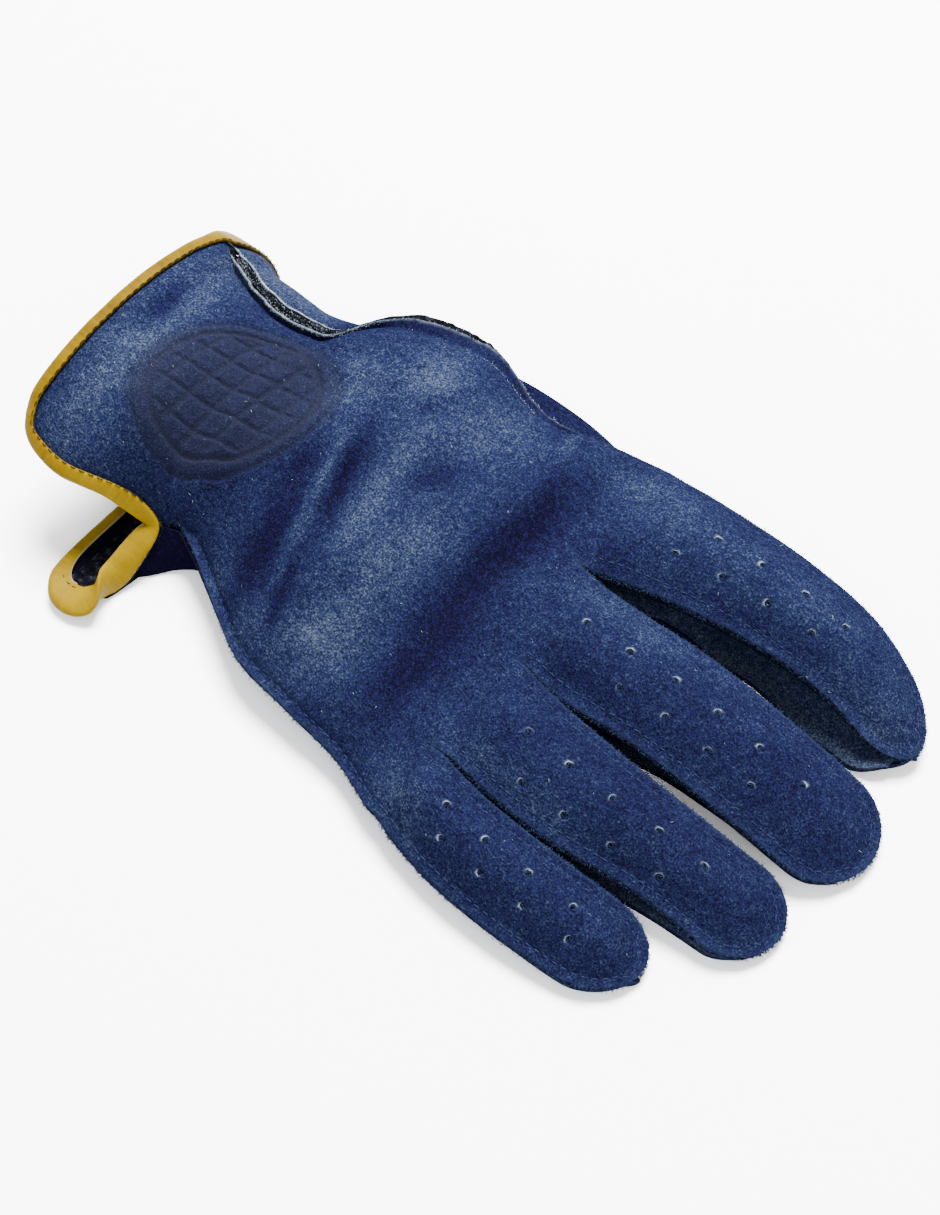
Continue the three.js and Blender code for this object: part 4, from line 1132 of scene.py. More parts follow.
def lint(name, dark, light):
    """Loose fibres: the eye sees a fuzzy outline, each fibre a little lighter or darker."""
    material, tree = new_material(name)
    shade = node(tree, "Attribute", out="Fac", attribute_name="shade")
    colour = node(tree, "ValToRGB", {"Fac": shade}, stops=[(0.0, dark), (1.0, light)])
    finish_material(tree, {
        "Base Color": colour, "Roughness": 0.9, "IOR": 1.45, "Specular IOR Level": 0.0,
    }, shade, 0.02)
    return material


SUEDE = navy_suede()
YELLOW = yellow_leather()
FLEECE = black_fleece()
NAVY_THREAD = sewing_thread("navy_thread", "#07091d", "#19213a")
BROWN_THREAD = sewing_thread("brown_thread", "#070502", "#1a1306")
NAVY_LINT = lint("navy_lint", "#070a18", "#222a40")
PALE_LINT = lint("pale_lint", "#3a424a", "#7c868a")
BLACK_LINT = lint("black_lint", "#030305", "#22242e")


# Lighter and darker strokes over the back, added where they lie: partly the nap's own tone,
# partly painted shade in the creases and painted light on the ridges that the creases raise
NAP_AND_PAINTED_SHADE = table(
    ["x", "y", "long", "wide", "turn", "shade"],
    [-108, -5, 45, 11, 95, 0.34],
    [-111, 6, 9, 3.5, 95, -0.42],
    [-98, 30, 12, 5, 0, 0.12],
    [-60, 22, 14, 6, 100, 0.28],
    [-72, -18, 14, 8, 60, -0.12],
    [-46, 38, 15, 9, 90, 0.36],
    [-24, 36, 14, 10, 60, 0.28],
    [-46.5, -4, 24, 2.2, 104, 0.3],
    [-44, 2, 12, 2.4, 106, -0.36],
    [-55, -3, 9, 4, 95, -0.2],
    [-49.5, -23, 14, 5, 100, -0.38],
    [-36.5, -30, 11, 1.8, 108, -0.3],
    [-34, 5, 20, 5, 97, 0.3],
    [-18, -8, 26, 10, 85, 0.28],
    [-22, -34, 13, 8, 30, 0.22],
    [-25, 16, 8, 3.5, 60, -0.2],
    [-39, 30, 5, 3, 60, -0.22],
    [0, 8, 30, 5.5, 86, -0.36],
    [3, -22, 16, 5.5, 80, -0.26],
    [-3, 38, 14, 3, 105, -0.2],
    [-7, 46, 9, 2, 115, 0.22],
    [-13, 54, 5, 3, 90, -0.25],
    [18, 52, 22, 8, 10, 0.22],
    [62, 54, 22, 8, 8, 0.1],
    [94, 47, 16, 10, 0, 0.16],
    [18, 30, 8, 5, 0, -0.1],
    [34, 20, 18, 5, 10, 0.18],
    [85, 12, 25, 8, 5, -0.1],
    [40, 0, 15, 4, 0, -0.1],
    [62, -15, 34, 8, 2, -0.1],
    [38, -31, 20, 3, 0, 0.18],
    [18, -48, 10, 6, -25, 0.2],
    [62, -45, 24, 7, 0, -0.04],
    [-50, -36, 24, 6, -25, 0.1],
)


# The back's nap tone, with painted shade in its creases and painted light on its ridges
def nap_and_painted_shade(x, y):
    strokes = 0.07 * waves(x, y, [26, 13], 5) + 0.05 * waves(x * 0.5, y, [7, 4], 6)
    return 0.36 + hills(NAP_AND_PAINTED_SHADE, x, y) + strokes


# Rows and columns

# Steps between rows in millimetres, closer together near the pressed oval
ROW_STEP = {"hand": 1.15, "emblem": 0.62, "emblem_reach": 24.0, "finger": 0.9}
TIP_ROWS = 20
BRIM_COLUMNS = 5
FINGER_COLUMN_COUNT = 33
HALF_BRIM = np.linspace(1 - BRIM_U, 1, BRIM_COLUMNS)
INSIDE_BRIM = np.linspace(BRIM_U - 1, 1 - BRIM_U, FINGER_COLUMN_COUNT)[1:-1]
ACROSS = np.concatenate([-HALF_BRIM[::-1], INSIDE_BRIM, HALF_BRIM])
BACK_C = np.concatenate([[0], *[k + (ACROSS[1:] + 1) / 2 for k in range(4)]])


def spaced(start, end, steps):
    """Rows from start to end whose step at any x is the one that steps gives."""
    at, rows = start, [start]
    while at < end:
        at += steps(at)
        rows.append(at)
    rows = np.array(rows)
    return (rows - start) / (rows[-1] - start)


def hand_step(x):
    near = abs(x - EMBLEM["x"]) < ROW_STEP["emblem_reach"]
    return ROW_STEP["emblem" if near else "hand"]


def finger_rows(k):
    """Places along a finger, closer together where its tip turns round."""
    length = FINGERS[k]["rows"]["x"][-1] - FORK_X
    straight = 1 - FINGERS[k]["tip"] / length
    body = np.arange(0, straight, ROW_STEP["finger"] / length)
    turn = straight + (1 - straight) * np.sin(np.linspace(0, math.pi / 2, TIP_ROWS))
    return np.concatenate([body, turn])


HAND_V = spaced(CUFF_X, FORK_X, hand_step)


# The share of a seam allowance that its cut edge's fibres take
CUT_SHARE = 0.3
# The outseam's allowance: where its darker nap starts and over what share it fades, how dark
# that is at the wrist and at the hand, how pale the cut edge is, and how much of all this is
# lost beyond the wrist
OUTSEAM = {
    "from": 0.6, "over": 0.5, "wrist_shade": 0.14, "hand_shade": 0.45, "pale": 0.85,
    "hand_loss": 0.55,
}


def brim_mark(share_from_edge):
    """1 on the cut edge, falling to 0 a little way in."""
    return np.clip(1 - share_from_edge / CUT_SHARE, 0, 1)


def back_marks(points, edge, wrist):
    x, y = points[..., 0], points[..., 1]
    inside = inside_emblem(x, y)
    brim = 1 - ease((edge - OUTSEAM["from"]) / OUTSEAM["over"])
    hand = ease((x - WRIST_END_X) / 12)
    shade = lerp(OUTSEAM["wrist_shade"], OUTSEAM["hand_shade"], hand)
    pressed = PRESSED["oval"] * inside + PRESSED["lines"] * emblem_lines(x, y) * inside
    return {
        "nap": nap_and_painted_shade(x, y) - brim * wrist * shade,
        "cut": brim_mark(edge),
        "pale": brim_mark(edge) * wrist * OUTSEAM["pale"],
        "pressed": np.clip(pressed, 0, 1),
        "rim": np.zeros_like(x),
    }


def wrist_seam(x):
    """1 where the outseam is open, less beyond the wrist and 0 after the welt's end."""
    hand = ease((x - WRIST_END_X) / 14)
    return (1 - ease((x - WELT_END_X) / 6)) * (1 - OUTSEAM["hand_loss"] * hand)


# How many times a tip's seam allowance goes into its finger's length
TIP_BRIMS = 14


def back_sheet():
    sheet = Sheet(LEATHER)
    c, v = np.meshgrid(BACK_C, HAND_V)
    points = back_point(c, v)
    from_edge = np.minimum(c, 4 - c) / BRIM_SHARE
    radial = (c > 2) * wrist_seam(points[..., 0])
    sheet.grid(points, **back_marks(points, from_edge, radial))
    for k in range(4):
        u, f = np.meshgrid(ACROSS, finger_rows(k))
        points = finger_back(k, u, f)
        from_edge = np.minimum((1 - np.abs(u)) / BRIM_U, (1 - f) * TIP_BRIMS)
        sheet.grid(points, **back_marks(points, from_edge, 0.0))
    return sheet.weld()


def wall_columns(count):
    """Columns down a side wall, over its seam allowance and then to the floor."""
    brim = np.linspace(0, ROOT_W, BRIM_COLUMNS)
    return np.concatenate([brim, np.linspace(ROOT_W, 1, count)[1:]])


# Where the slit ends along the back and along the palm, whose rows are closer together up to it
SLIT_BACK_V = 0.262
SLIT_PALM_V = 0.15
RADIAL_C = 5 - wall_columns(24)[::-1]
PALM_C = np.concatenate([wall_columns(16)[:-1] - 1, np.linspace(0, 4, 65), RADIAL_C[1:]])
PALM_V = np.concatenate([
    np.linspace(0, SLIT_PALM_V, 26), np.linspace(SLIT_PALM_V, 1, 90)[1:],
])


# The nap left low by default is painted shade on what lies under the glove
def plain_marks(points, nap=0.2, cut=0.0, pale=0.0, pressed=0.0):
    """Marks of everything but the back."""
    x, y = points[..., 0], points[..., 1]
    zero = np.zeros_like(x)
    nap = nap + 0.1 * waves(x, y + points[..., 2], [24, 12], 9)
    return {
        "nap": nap, "cut": cut + zero, "pale": pale + zero, "pressed": pressed + zero,
        "rim": zero,
    }


# The palm's nap and painted shade: a low plain level as painted shade, how much darker it is
# beside the slit as painted shadow, and how much lighter at the wrist and flatter beyond it on
# the thumb's side, which starts at y
PALM_NAP_AND_PAINTED_SHADE = {
    "plain": 0.2, "slit_x": -76.0, "slit_reach": 14.0, "slit_shade": 0.45, "y": 20.0,
    "fade": 20.0, "wrist_x": -88.0, "wrist_fade": 12.0, "wrist_shade": 0.5, "worn": 0.6,
    "worn_x": -70.0, "worn_fade": 30.0, "worn_end_x": 30.0,
}
FINGER_NAP = 0.4


def palm_marks(c, points):
    """Painted shadow darkest beside the slit, light at the wrist's thumb side and worn beyond it.
    """
    x, y = points[..., 0], points[..., 1]
    own = PALM_NAP_AND_PAINTED_SHADE
    cut = brim_mark(np.minimum(c + 1, 5 - c) / ROOT_W)
    thumb_side = ease((y - own["y"]) / own["fade"])
    painted_slit_shadow = np.exp(-(((x - own["slit_x"]) / own["slit_reach"]) ** 2)) * (y < 0)
    wrist = 1 - ease((x - own["wrist_x"]) / own["wrist_fade"])
    nap = own["plain"] - own["slit_shade"] * painted_slit_shadow + own["wrist_shade"] * thumb_side * wrist
    worn = own["worn"] * thumb_side * ease((x - own["worn_x"]) / own["worn_fade"])
    worn = worn * (1 - ease((x - own["worn_end_x"]) / own["fade"]))
    return plain_marks(points, nap, cut, cut * (c > 2) * wrist_seam(x), worn)


def palm_sheet():
    sheet = Sheet(LEATHER)
    c, v = np.meshgrid(PALM_C, PALM_V)
    points = palm_point(c, v)
    sheet.grid(points, True, **palm_marks(c, points))
    for k in range(4):
        own = PALM_C[((PALM_C >= k) | (k == 0)) & ((PALM_C <= k + 1) | (k == 3))]
        c, f = np.meshgrid(own, finger_rows(k))
        points = finger_palm(k, c, f)
        sheet.grid(points, True, **plain_marks(points, FINGER_NAP))
    return sheet.weld()


back = back_sheet()
palm = palm_sheet()


def perforations():
    centres = []
    for line in PERFORATED:
        rows = FINGERS[line["finger"]]["rows"]
        start = back_point(line["finger"] + (line["u"] + 1) / 2, 1.0)[0]
        for i in range(line["count"]):
            f = (line["x"] + PERFORATION["pitch"] * i - start) / (rows["x"][-1] - start)
            centres.append(finger_back(line["finger"], line["u"], f))
    return centres


def dress(piece, slot, *nodes):
    """The piece rides on the glove and stands for its solids, which are hidden; its slot is not
    used.
    """
    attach(piece, "root")
    if nodes:
        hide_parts(*nodes)
    return piece


HOLES = perforations()
back.punch(HOLES, PERFORATION["radius"])

# The share of its thickness that the leather loses at a cut edge
SKIVED = 0.4
# The inside is darkened with painted shade up to here, where the fingers begin
DARK_END_X = 30.0


def skived(sheet):
    """The leather's thickness, pared thinner at its cut edges."""
    return LEATHER * (1 - SKIVED * sheet.marks["cut"])


dress(back.piece("suede_back", SUEDE, skived(back)), "suede", "back_panel")
over_hand = palm.points[:, 0] < DARK_END_X
dress(palm.piece("suede_palm", SUEDE, skived(palm), over_hand), "suede", "palm_panel")


# Fourchettes: the side strips between two fingers

# A strip's rows run from its end near the tip to its start near the fork. Room is the share of
# the height between the panels that a tucked edge may take, and lip how far inside the fork's
# edge the strip begins
FOURCHETTE = {
    "thickness": 1.0, "start": 0.1, "end": 0.965, "rows": 60, "points": 13, "bow": 1.2,
    "fold": 0.5, "room": 0.42, "turn": 60, "lip": 0.4, "width": 27.0, "nap": 0.62,
    "painted_flange_light": 0.12,
}


def fourchette_piece(k, name, node_name):
    """From one finger's tip round the fork to the next one's, with soft folds across it."""
    drop = LEATHER + GAP + FOURCHETTE["thickness"]
    stations = []

    def station(edge, root, palm_edge, palm_root, away):
        here = palm_lift(palm_root[0], palm_root[1])
        steep = math.hypot(
            1, palm_lift(palm_root[0] + 1, palm_root[1]) - here,
            palm_lift(palm_root[0], palm_root[1] + 1) - here,
        )
        room = FOURCHETTE["room"] * (root[2] - palm_root[2])
        rise, fall = min(drop * steep, room), min(drop, room)
        top = np.array([root[0], root[1], root[2] - fall])
        bottom = np.array([palm_root[0], palm_root[1], palm_root[2] + rise])
        fold = FOURCHETTE["fold"] * waves(root[0], 10.0 * k + root[1], [13, 7], 40 + k)
        column = [[edge[0], edge[1], edge[2] - fall]]
        for t in np.linspace(0, 1, FOURCHETTE["points"]):
            push = math.sin(math.pi * t) * (FOURCHETTE["bow"] + fold * math.cos(3 * t))
            column.append(lerp(top, bottom, t) + away * push)
        column.append([palm_edge[0], palm_edge[1], palm_edge[2] + rise])
        stations.append(np.array(column))

    def along_finger(finger, side, f):
        c = finger + 1 if side > 0 else finger
        station(
            finger_back(finger, side, f), finger_back(finger, side * (1 - BRIM_U), f),
            finger_palm(finger, c, f), finger_palm(finger, c - side * BRIM_SHARE, f),
            np.array([0.0, -side, 0.0]),
        )

    places = np.linspace(FOURCHETTE["end"], FOURCHETTE["start"], FOURCHETTE["rows"])
    for f in places:
        along_finger(k, 1, f)
    c = k + 1
    fork, fork_palm = back_point(c, 1.0), palm_point(c, 1.0)
    for degrees in np.linspace(-FOURCHETTE["turn"], FOURCHETTE["turn"], FOURCHETTE["points"]):
        turn = math.radians(degrees)
        away = np.array([-math.cos(turn), math.sin(turn), 0.0])
        behind = 1 + BRIM * away[0] / (fork_x(c) - CUFF_X)
        beside = c + BRIM * away[1] / FOURCHETTE["width"]
        station(
            fork + away * FOURCHETTE["lip"], back_point(beside, behind),
            fork_palm, palm_point(beside, behind), away,
        )
    for f in places[::-1]:
        along_finger(k + 1, -1, f)
    grid = np.array(stations)
    # Painted light: the strip's nap is raised where the glove shades it, and more towards its
    # flange on the palm
    down = ease((np.linspace(0, 1, grid.shape[1]) - 0.7) / 0.25)
    nap = FOURCHETTE["nap"] + FOURCHETTE["painted_flange_light"] * down
    piece = Sheet(FOURCHETTE["thickness"]).grid(grid, True, **plain_marks(grid, nap)).weld()
    dress(piece.piece(name, SUEDE), "suede", node_name)


fourchette_piece(0, "suede_fourchette_little_ring", "fourchette_little_ring")
fourchette_piece(1, "suede_fourchette_ring_middle", "fourchette_ring_middle")
fourchette_piece(2, "suede_fourchette_middle_index", "fourchette_middle_index")


# Thumb


def thumb_rings():
    """Rings of a flattened round thumb, from the wrist's side to its tip."""
    shape = THUMB_SHAPE
    at = np.linspace(0, 1, shape["rings"])
    places = {"i": np.linspace(0, 1, len(THUMB["x"]))}
    row = {key: along({**THUMB, **places}, key, at, "i") for key in THUMB}
    ahead = unit(np.stack([np.gradient(row["x"]), np.gradient(row["y"])], -1))
    angle = -2 * math.pi * (np.arange(shape["sides"]) + 0.5) / shape["sides"]
    wide = np.sign(np.cos(angle)) * np.abs(np.cos(angle)) ** shape["squareness"]
    tall = np.sign(np.sin(angle)) * np.abs(np.sin(angle)) ** shape["squareness"]
    tall = np.clip(shape["flattened"] * tall, -1, 1)
    half = col(row["half_width"]) * wide
    x = col(row["x"]) - ahead[:, 1:] * half
    y = col(row["y"]) + ahead[:, :1] * half
    z = col(row["height"] / 2) + tall * col(row["height"] / 2)
    return np.stack([x, y, z], -1)


def thumb_piece():
    rings = thumb_rings()
    faces = tube_faces(THUMB_SHAPE["rings"], THUMB_SHAPE["sides"])[:, ::-1]
    points = rings.reshape(-1, 3)
    marks = {key: m.reshape(-1) for key, m in plain_marks(rings).items()}
    dress(make_piece("suede_thumb", points, faces, SUEDE, marks), "suede", "thumb")


thumb_piece()


# Fleece: two linings inside the wrist and the welt in its outseam


def between(values, low, high):
    return (values > low) & (values < high)


def lining_piece(name, sheet, patch, flip, node_name):
    points = sheet.under(patch, LEATHER + GAP)
    made = Sheet(LINING).grid(points, flip).weld()
    dress(made.piece(name, FLEECE), "fleece", node_name)


# Each lining ends inside the bare edges and short of the knuckles
BACK_LINED = np.ix_(between(HAND_V, 0.035, 0.4), between(BACK_C, 0.28, 3.85))
PALM_LINED = np.ix_(between(PALM_V, 0.038, 0.4), between(PALM_C, -0.66, 4.7))
lining_piece("fleece_back", back, BACK_LINED, False, "back_lining")
lining_piece("fleece_palm", palm, PALM_LINED, True, "palm_lining")

# The welt's ends and rows along the outseam, how deep it is sewn in, how far it stands out
# beyond the two edges, and how much its own edge waves
WELT_STRIP = {
    "start": CUFF_X + 2.0, "end": -33.0, "step": 0.6, "columns": 8, "sewn": -0.8,
    "proud": 0.2, "wave": 0.35,
}


def welt_piece():
    """A strip between the outseam's two raw edges that waves with both of them."""
    strip = WELT_STRIP
    x = np.arange(strip["start"], strip["end"], strip["step"])
    place = radial_frame(x)
    foot, edge, down = place["root"], place["edge"], place["down"]
    height = np.linalg.norm(edge - foot, axis=-1)
    out = unit(edge - foot)
    room = np.linalg.norm(place["palm_root"] - foot, axis=-1)
    face = foot + down * col((room - WELT * place["slant"]) / 2)
    wave = strip["wave"] * waves(x, 0 * x, [7, 3], 61)
    end = height + strip["proud"] + swelling(WELT_SWELL, x) + wave
    columns = []
    for share in np.linspace(0, 1, strip["columns"]):
        reach = lerp(strip["sewn"], end, share)
        sway = ripple(x, BACK_EDGE) * share * 0.5 + ripple(x, PALM_EDGE) * share * 0.5
        columns.append(space(x, face + out * col(reach) + down * col(sway)))
    grid = np.stack(columns, 1)
    sheet = Sheet(WELT).grid(grid).weld()
    dress(sheet.piece("fleece_welt", FLEECE), "fleece", "outseam_welt")


welt_piece()


# Binding


# How far the strip reaches over the outer face, over the inner face, and beyond the edge
BOUND = {
    "back_cuff": (1.9, 2.3, 2.4), "back_slit": (2.7, 2.4, 1.9), "near_apex": (3.0, 2.6, 2.8),
    "apex": (1.2, 2.8, 4.4), "tongue_top": (1.8, 3.0, 6.0), "tongue_side": (2.2, 3.0, 8.2),
    "tongue_turn": (2.4, 5.0, 5.4), "tongue_tip": (2.6, 7.4, 0.9),
    "tongue_end": (3.0, 6.6, 1.3), "palm_cuff": (3.0, 2.0, 1.6), "cuff_corner": (3.0, 2.0, 6.5),
}
# Where those stretches change: along the back, along the tongue and across the palm's cuff
SLIT_STRETCH = {"near_apex": 0.19, "end": 0.235}
TONGUE_STRETCHES = (
    ("tongue_top", 0.135, 0.143), ("tongue_side", 0.106, 0.135),
    ("tongue_turn", 0.094, 0.106), ("tongue_tip", 0.07, 0.094),
)
CUFF_STRETCH = {"back_end": 3.95, "tongue": -0.8, "corner": 4.3, "palm_end": 4.8}
# The strip's slot, walls and steps in millimetres, how many points its outline has, and how
# much it swells, creases and thins towards its edges
BINDING = {
    "slot": 2.2, "wall": 1.0, "bottom": 0.5, "step": 0.4, "wall_points": 5, "nose_points": 15,
    "lump": 0.05, "crease": 0.09, "thinner": 0.12, "clearance": 0.2,
}
# How many steps along the strip each of its lines is smoothed over
SMOOTH = {"path": 3, "normal": 9, "reach": 10, "over": 7, "under": 10, "turn": 7}
# How near to the slit's end the strip's turn is rounded off, and how near it has no stitches
SLIT_TURN = {"rounded": 9.0, "unsewn": 8.0}
# The strip's cut edge shows pale near the table, and the top of its cuff is darkened
# with painted shade
RAW_EDGE = {"z": 7.0, "fade": 4.0}
CUFF_TOP_SHADE = {"shade": 0.9, "x": -106.0, "fade": 12.0, "above": 12.0}


def binding_path():
    """Points of the panels' outer edge round the cuff and the slit, with normals and reach."""
    points, normals, reach = [], [], []

    def visit(sheet, ids, name):
        points.extend(sheet.points[ids])
        normals.extend(sheet.normals[ids])
        reach.extend([BOUND[name]] * len(ids))

    back_ids, palm_ids = back.ids[0], palm.ids[0]
    near, end = SLIT_STRETCH["near_apex"], SLIT_STRETCH["end"]
    visit(back, back_ids[0, BACK_C < CUFF_STRETCH["back_end"]][::-1], "back_cuff")
    visit(back, back_ids[(HAND_V > 0) & (HAND_V < near), 0], "back_slit")
    visit(back, back_ids[(HAND_V >= near) & (HAND_V < end), 0], "near_apex")
    above, below = back_point(0.0, SLIT_BACK_V), palm_point(-1.0, SLIT_PALM_V)
    for t in (0.25, 0.5, 0.75):
        points.append(lerp(above, below, t))
        normals.append(unit(np.array([0, -1, 0.1])))
        reach.append(BOUND["apex"])
    for name, start, end in TONGUE_STRETCHES:
        visit(palm, palm_ids[(PALM_V > start) & (PALM_V <= end), 0][::-1], name)
    tongue, corner = CUFF_STRETCH["tongue"], CUFF_STRETCH["corner"]
    visit(palm, palm_ids[0, PALM_C < tongue], "tongue_end")
    visit(palm, palm_ids[0, (PALM_C >= tongue) & (PALM_C < corner)], "palm_cuff")
    at_corner = (PALM_C >= corner) & (PALM_C < CUFF_STRETCH["palm_end"])
    visit(palm, palm_ids[0, at_corner], "cuff_corner")
    return np.array(points), np.array(normals), np.array(reach)


def from_slit_end(points):
    """How far points lie from the slit's end on the back's edge."""
    return np.linalg.norm(points - back_point(0.0, SLIT_BACK_V), axis=1)


def loop_smooth(values, width):
    """Averages along a closed loop of evenly spaced rows."""
    reach = np.arange(-3 * width, 3 * width + 1)
    weight = np.exp(-0.5 * (reach / width) ** 2)
    weight /= weight.sum()
    total = 0
    for step, w in zip(reach, weight):
        total = total + np.roll(values, step, axis=0) * w
    return total


def binding_piece():
    """A leather strip folded over the panels' edge, drawn round their closed outline."""
    points, normals, reach = binding_path()
    length = path_length(np.concatenate([points, points[:1]]))
    count = int(length[-1] / BINDING["step"])
    at = np.arange(count) * length[-1] / count

    def sampled(values):
        return along_path(np.concatenate([values, values[:1]]), length, at)

    path = loop_smooth(sampled(points), SMOOTH["path"])
    normal = unit(loop_smooth(sampled(normals), SMOOTH["normal"]))
    outer, inner, nose = loop_smooth(sampled(reach), SMOOTH["reach"]).T
    ahead = unit(np.roll(path, -1, axis=0) - np.roll(path, 1, axis=0))
    up = unit(normal - ahead * col(np.sum(normal * ahead, 1)))
    inward = np.cross(up, ahead)
    middle = path - normal * LEATHER / 2
    over = loop_smooth(inward * col(outer), SMOOTH["over"])
    under = loop_smooth(middle + inward * col(inner), SMOOTH["under"]) - middle
    open_half = BINDING["slot"] / 2
    full = open_half + BINDING["wall"]
    crease = waves(at, 0 * at, [2.1, 1.3], 71) * (0.6 + 0.4 * waves(at, 0 * at, [21], 72))
    lump = waves(at, 0 * at, [15, 8], 73)
    low = 1 - ease((path[:, 2] - RAW_EDGE["z"]) / RAW_EDGE["fade"])
    cuff = 1 - ease((path[:, 0] - CUFF_TOP_SHADE["x"]) / CUFF_TOP_SHADE["fade"])
    # Painted shade: the cuff's strip is darkened above a height
    painted_cuff_shade = CUFF_TOP_SHADE["shade"] * cuff * (path[:, 2] > CUFF_TOP_SHADE["above"])
    rings, creases, raw = [], [], []
    wall = np.linspace(0, 1, BINDING["wall_points"])
    turns = np.linspace(-math.pi / 2, math.pi / 2, BINDING["nose_points"])
    outline = [("wall", -1, w) for w in wall[::-1]]
    outline += [("nose", angle, 0) for angle in turns[1:-1]]
    outline += [("wall", 1, w) for w in wall]
    wrinkle = BINDING["crease"] * crease
    swollen = full * (1 + BINDING["lump"] * lump) + wrinkle
    for kind, a, w in outline:
        if kind == "wall":
            thin = swollen * (1 - BINDING["thinner"] * w ** 3)
            along_in, out_up = (over if a > 0 else under) * w, a * thin
        else:
            along_in = -inward * col(nose + wrinkle) * math.cos(a)
            out_up = swollen * math.sin(a)
        ring = middle + along_in + up * col(out_up)
        rings.append(ring)
        # The crease mark carries the wrinkles with their painted shade, less the cuff's painted
        # shade
        creases.append(0.5 + 0.5 * crease - painted_cuff_shade)
        raw.append((w == 1) * low)
    bottom = -inward * BINDING["bottom"]
    for along_in, side in ((over, 1), (bottom, 1), (bottom, -1), (under, -1)):
        rings.append(middle + along_in + up * (side * open_half))
        creases.append(0 * crease)
        raw.append((along_in is not bottom) * low)
    grid = np.stack(rings, 1)
    rounded = np.exp(-((from_slit_end(path) / SLIT_TURN["rounded"]) ** 4))[:, None, None]
    grid = lerp(grid, loop_smooth(grid, SMOOTH["turn"]), rounded)
    grid[..., 2] = np.maximum(grid[..., 2], BINDING["clearance"])
    sides = grid.shape[1]
    i = np.arange(count)[:, None] * sides
    n = (np.arange(count)[:, None] + 1) % count * sides
    j = np.arange(sides)
    k = (j + 1) % sides
    faces = np.stack([i + j, i + k, n + k, n + j], -1).reshape(-1, 4)
    marks = {"crease": np.stack(creases, 1).reshape(-1), "raw": np.stack(raw, 1).reshape(-1)}
    piece = make_piece("yellow_binding", grid.reshape(-1, 3), faces, YELLOW, marks)
    dress(piece, "binding", "cuff_binding")
    return {
        "middle": middle, "inward": inward, "up": up, "outer": outer, "inner": inner,
        "full": full,
    }


binding = binding_piece()


# Thread: lines of small stitches that rise out of the leather and dip back into it


STITCH = {
    "first": 0.5, "pitch": 2.5, "length": 1.7, "radius": 0.15, "rise": 0.22, "dip": 0.1,
    "ends": 0.5, "points": 6, "sides": 6,
}
# The binding's stitches: how fine they are, how far its inner line lies in from the strip's
# edge and where it shows, and how deep both lie in the strip
BINDING_STITCH = {"finer": 0.8, "in": 1.6, "shown_over": 3.4, "depth": 0.93}


# The hand's two seams are sewn from these places along the back to the forks
SEWN_FROM = {"ulnar": 0.3, "radial": 0.06}


def stitch_starts(length):
    return np.arange(STITCH["first"], length[-1] - STITCH["length"], STITCH["pitch"])


def stitches(path, normals):
    """Arched stitches along a path: (count, points, 3)."""
    length = path_length(path)
    share = np.linspace(0, 1, STITCH["points"])
    at = col(stitch_starts(length)) + STITCH["length"] * share
    points = along_path(path, length, at)
    ups = unit(along_path(normals, length, at))
    lift = STITCH["rise"] * np.sin(math.pi * share) - STITCH["dip"]
    return points + ups * col(lift)


def stitch_places(path, shown):
    """Which of the stitches along a path lie where shown holds."""
    length = path_length(path)
    return np.interp(stitch_starts(length), length, shown.astype(float)) > 0.5


def level(path, up=(0.0, 0.0, 1.0)):
    """The same upward direction at every point of a path."""
    return np.broadcast_to(unit(np.array(up)), path.shape)


def glove_seams():
    lines = []
    for k in range(4):
        f = finger_rows(k)[2:-6]
        low = finger_back(k, -(1 - BRIM_U), f)
        high = finger_back(k, 1 - BRIM_U, f)[::-1]
        round_tip = np.concatenate([low, high])
        lines.append(stitches(round_tip, level(round_tip)))
    ulnar = back_point(BRIM_SHARE, np.linspace(SEWN_FROM["ulnar"], 1, 160))
    lines.append(stitches(ulnar, level(ulnar, (0.0, -0.4, 0.9))))
    radial = back_point(4 - BRIM_SHARE, np.linspace(SEWN_FROM["radial"], 1, 240))
    lines.append(stitches(radial, level(radial, (0.0, 0.1, 1.0))))
    return np.concatenate(lines)


def binding_seams():
    """A line at the strip's edge on its outer face, and one further in on the slit's inside."""
    lines = []
    inner, up = binding["inner"], binding["up"]
    for side, depth in ((1, binding["outer"]), (-1, inner - BINDING_STITCH["in"])):
        path = (
            binding["middle"] + binding["inward"] * col(depth)
            + up * (side * binding["full"] * BINDING_STITCH["depth"])
        )
        shown = (side > 0) | (inner > BINDING_STITCH["shown_over"])
        shown = shown & (from_slit_end(path) > SLIT_TURN["unsewn"])
        lines.append(stitches(path, up * side)[stitch_places(path, shown)])
    return np.concatenate(lines)


def thread_piece(name, lines, finer, material, slot):
    radii = STITCH["radius"] * np.ones(STITCH["points"])
    radii[[0, -1]] *= STITCH["ends"]
    dress(strands(name, lines, finer * radii, STITCH["sides"], material), slot)


thread_piece("seam_stitches", glove_seams(), 1.0, NAVY_THREAD, "suede")
thread_piece(
    "binding_stitches", binding_seams(), BINDING_STITCH["finer"], BROWN_THREAD, "binding",
)


# Lint: loose fibres at the cut edges and lying over the nap

# Fibres that stand out of the fingers' and the hand's edges, and others that lean in over them
OUTER_LINT = {"per_mm": 8.2, "length": (0.25, 1.0)}
INNER_LINT = {"per_mm": 2.5, "length": (0.4, 1.2), "side": -1.0, "spread": 1.2}
# Fibres along the outseam's bare edges and along the line where they come out
BARE_LINT = {"per_mm": 9, "length": (0.25, 0.8), "side": -1.0, "spread": 1.0}
ROOT_LINT = {"per_mm": 5, "length": (0.2, 0.6), "side": -1.0, "spread": 2.0}
# The way the back's nap is stroked
NAP_WAY = np.array([1.0, -0.35, 0.0])


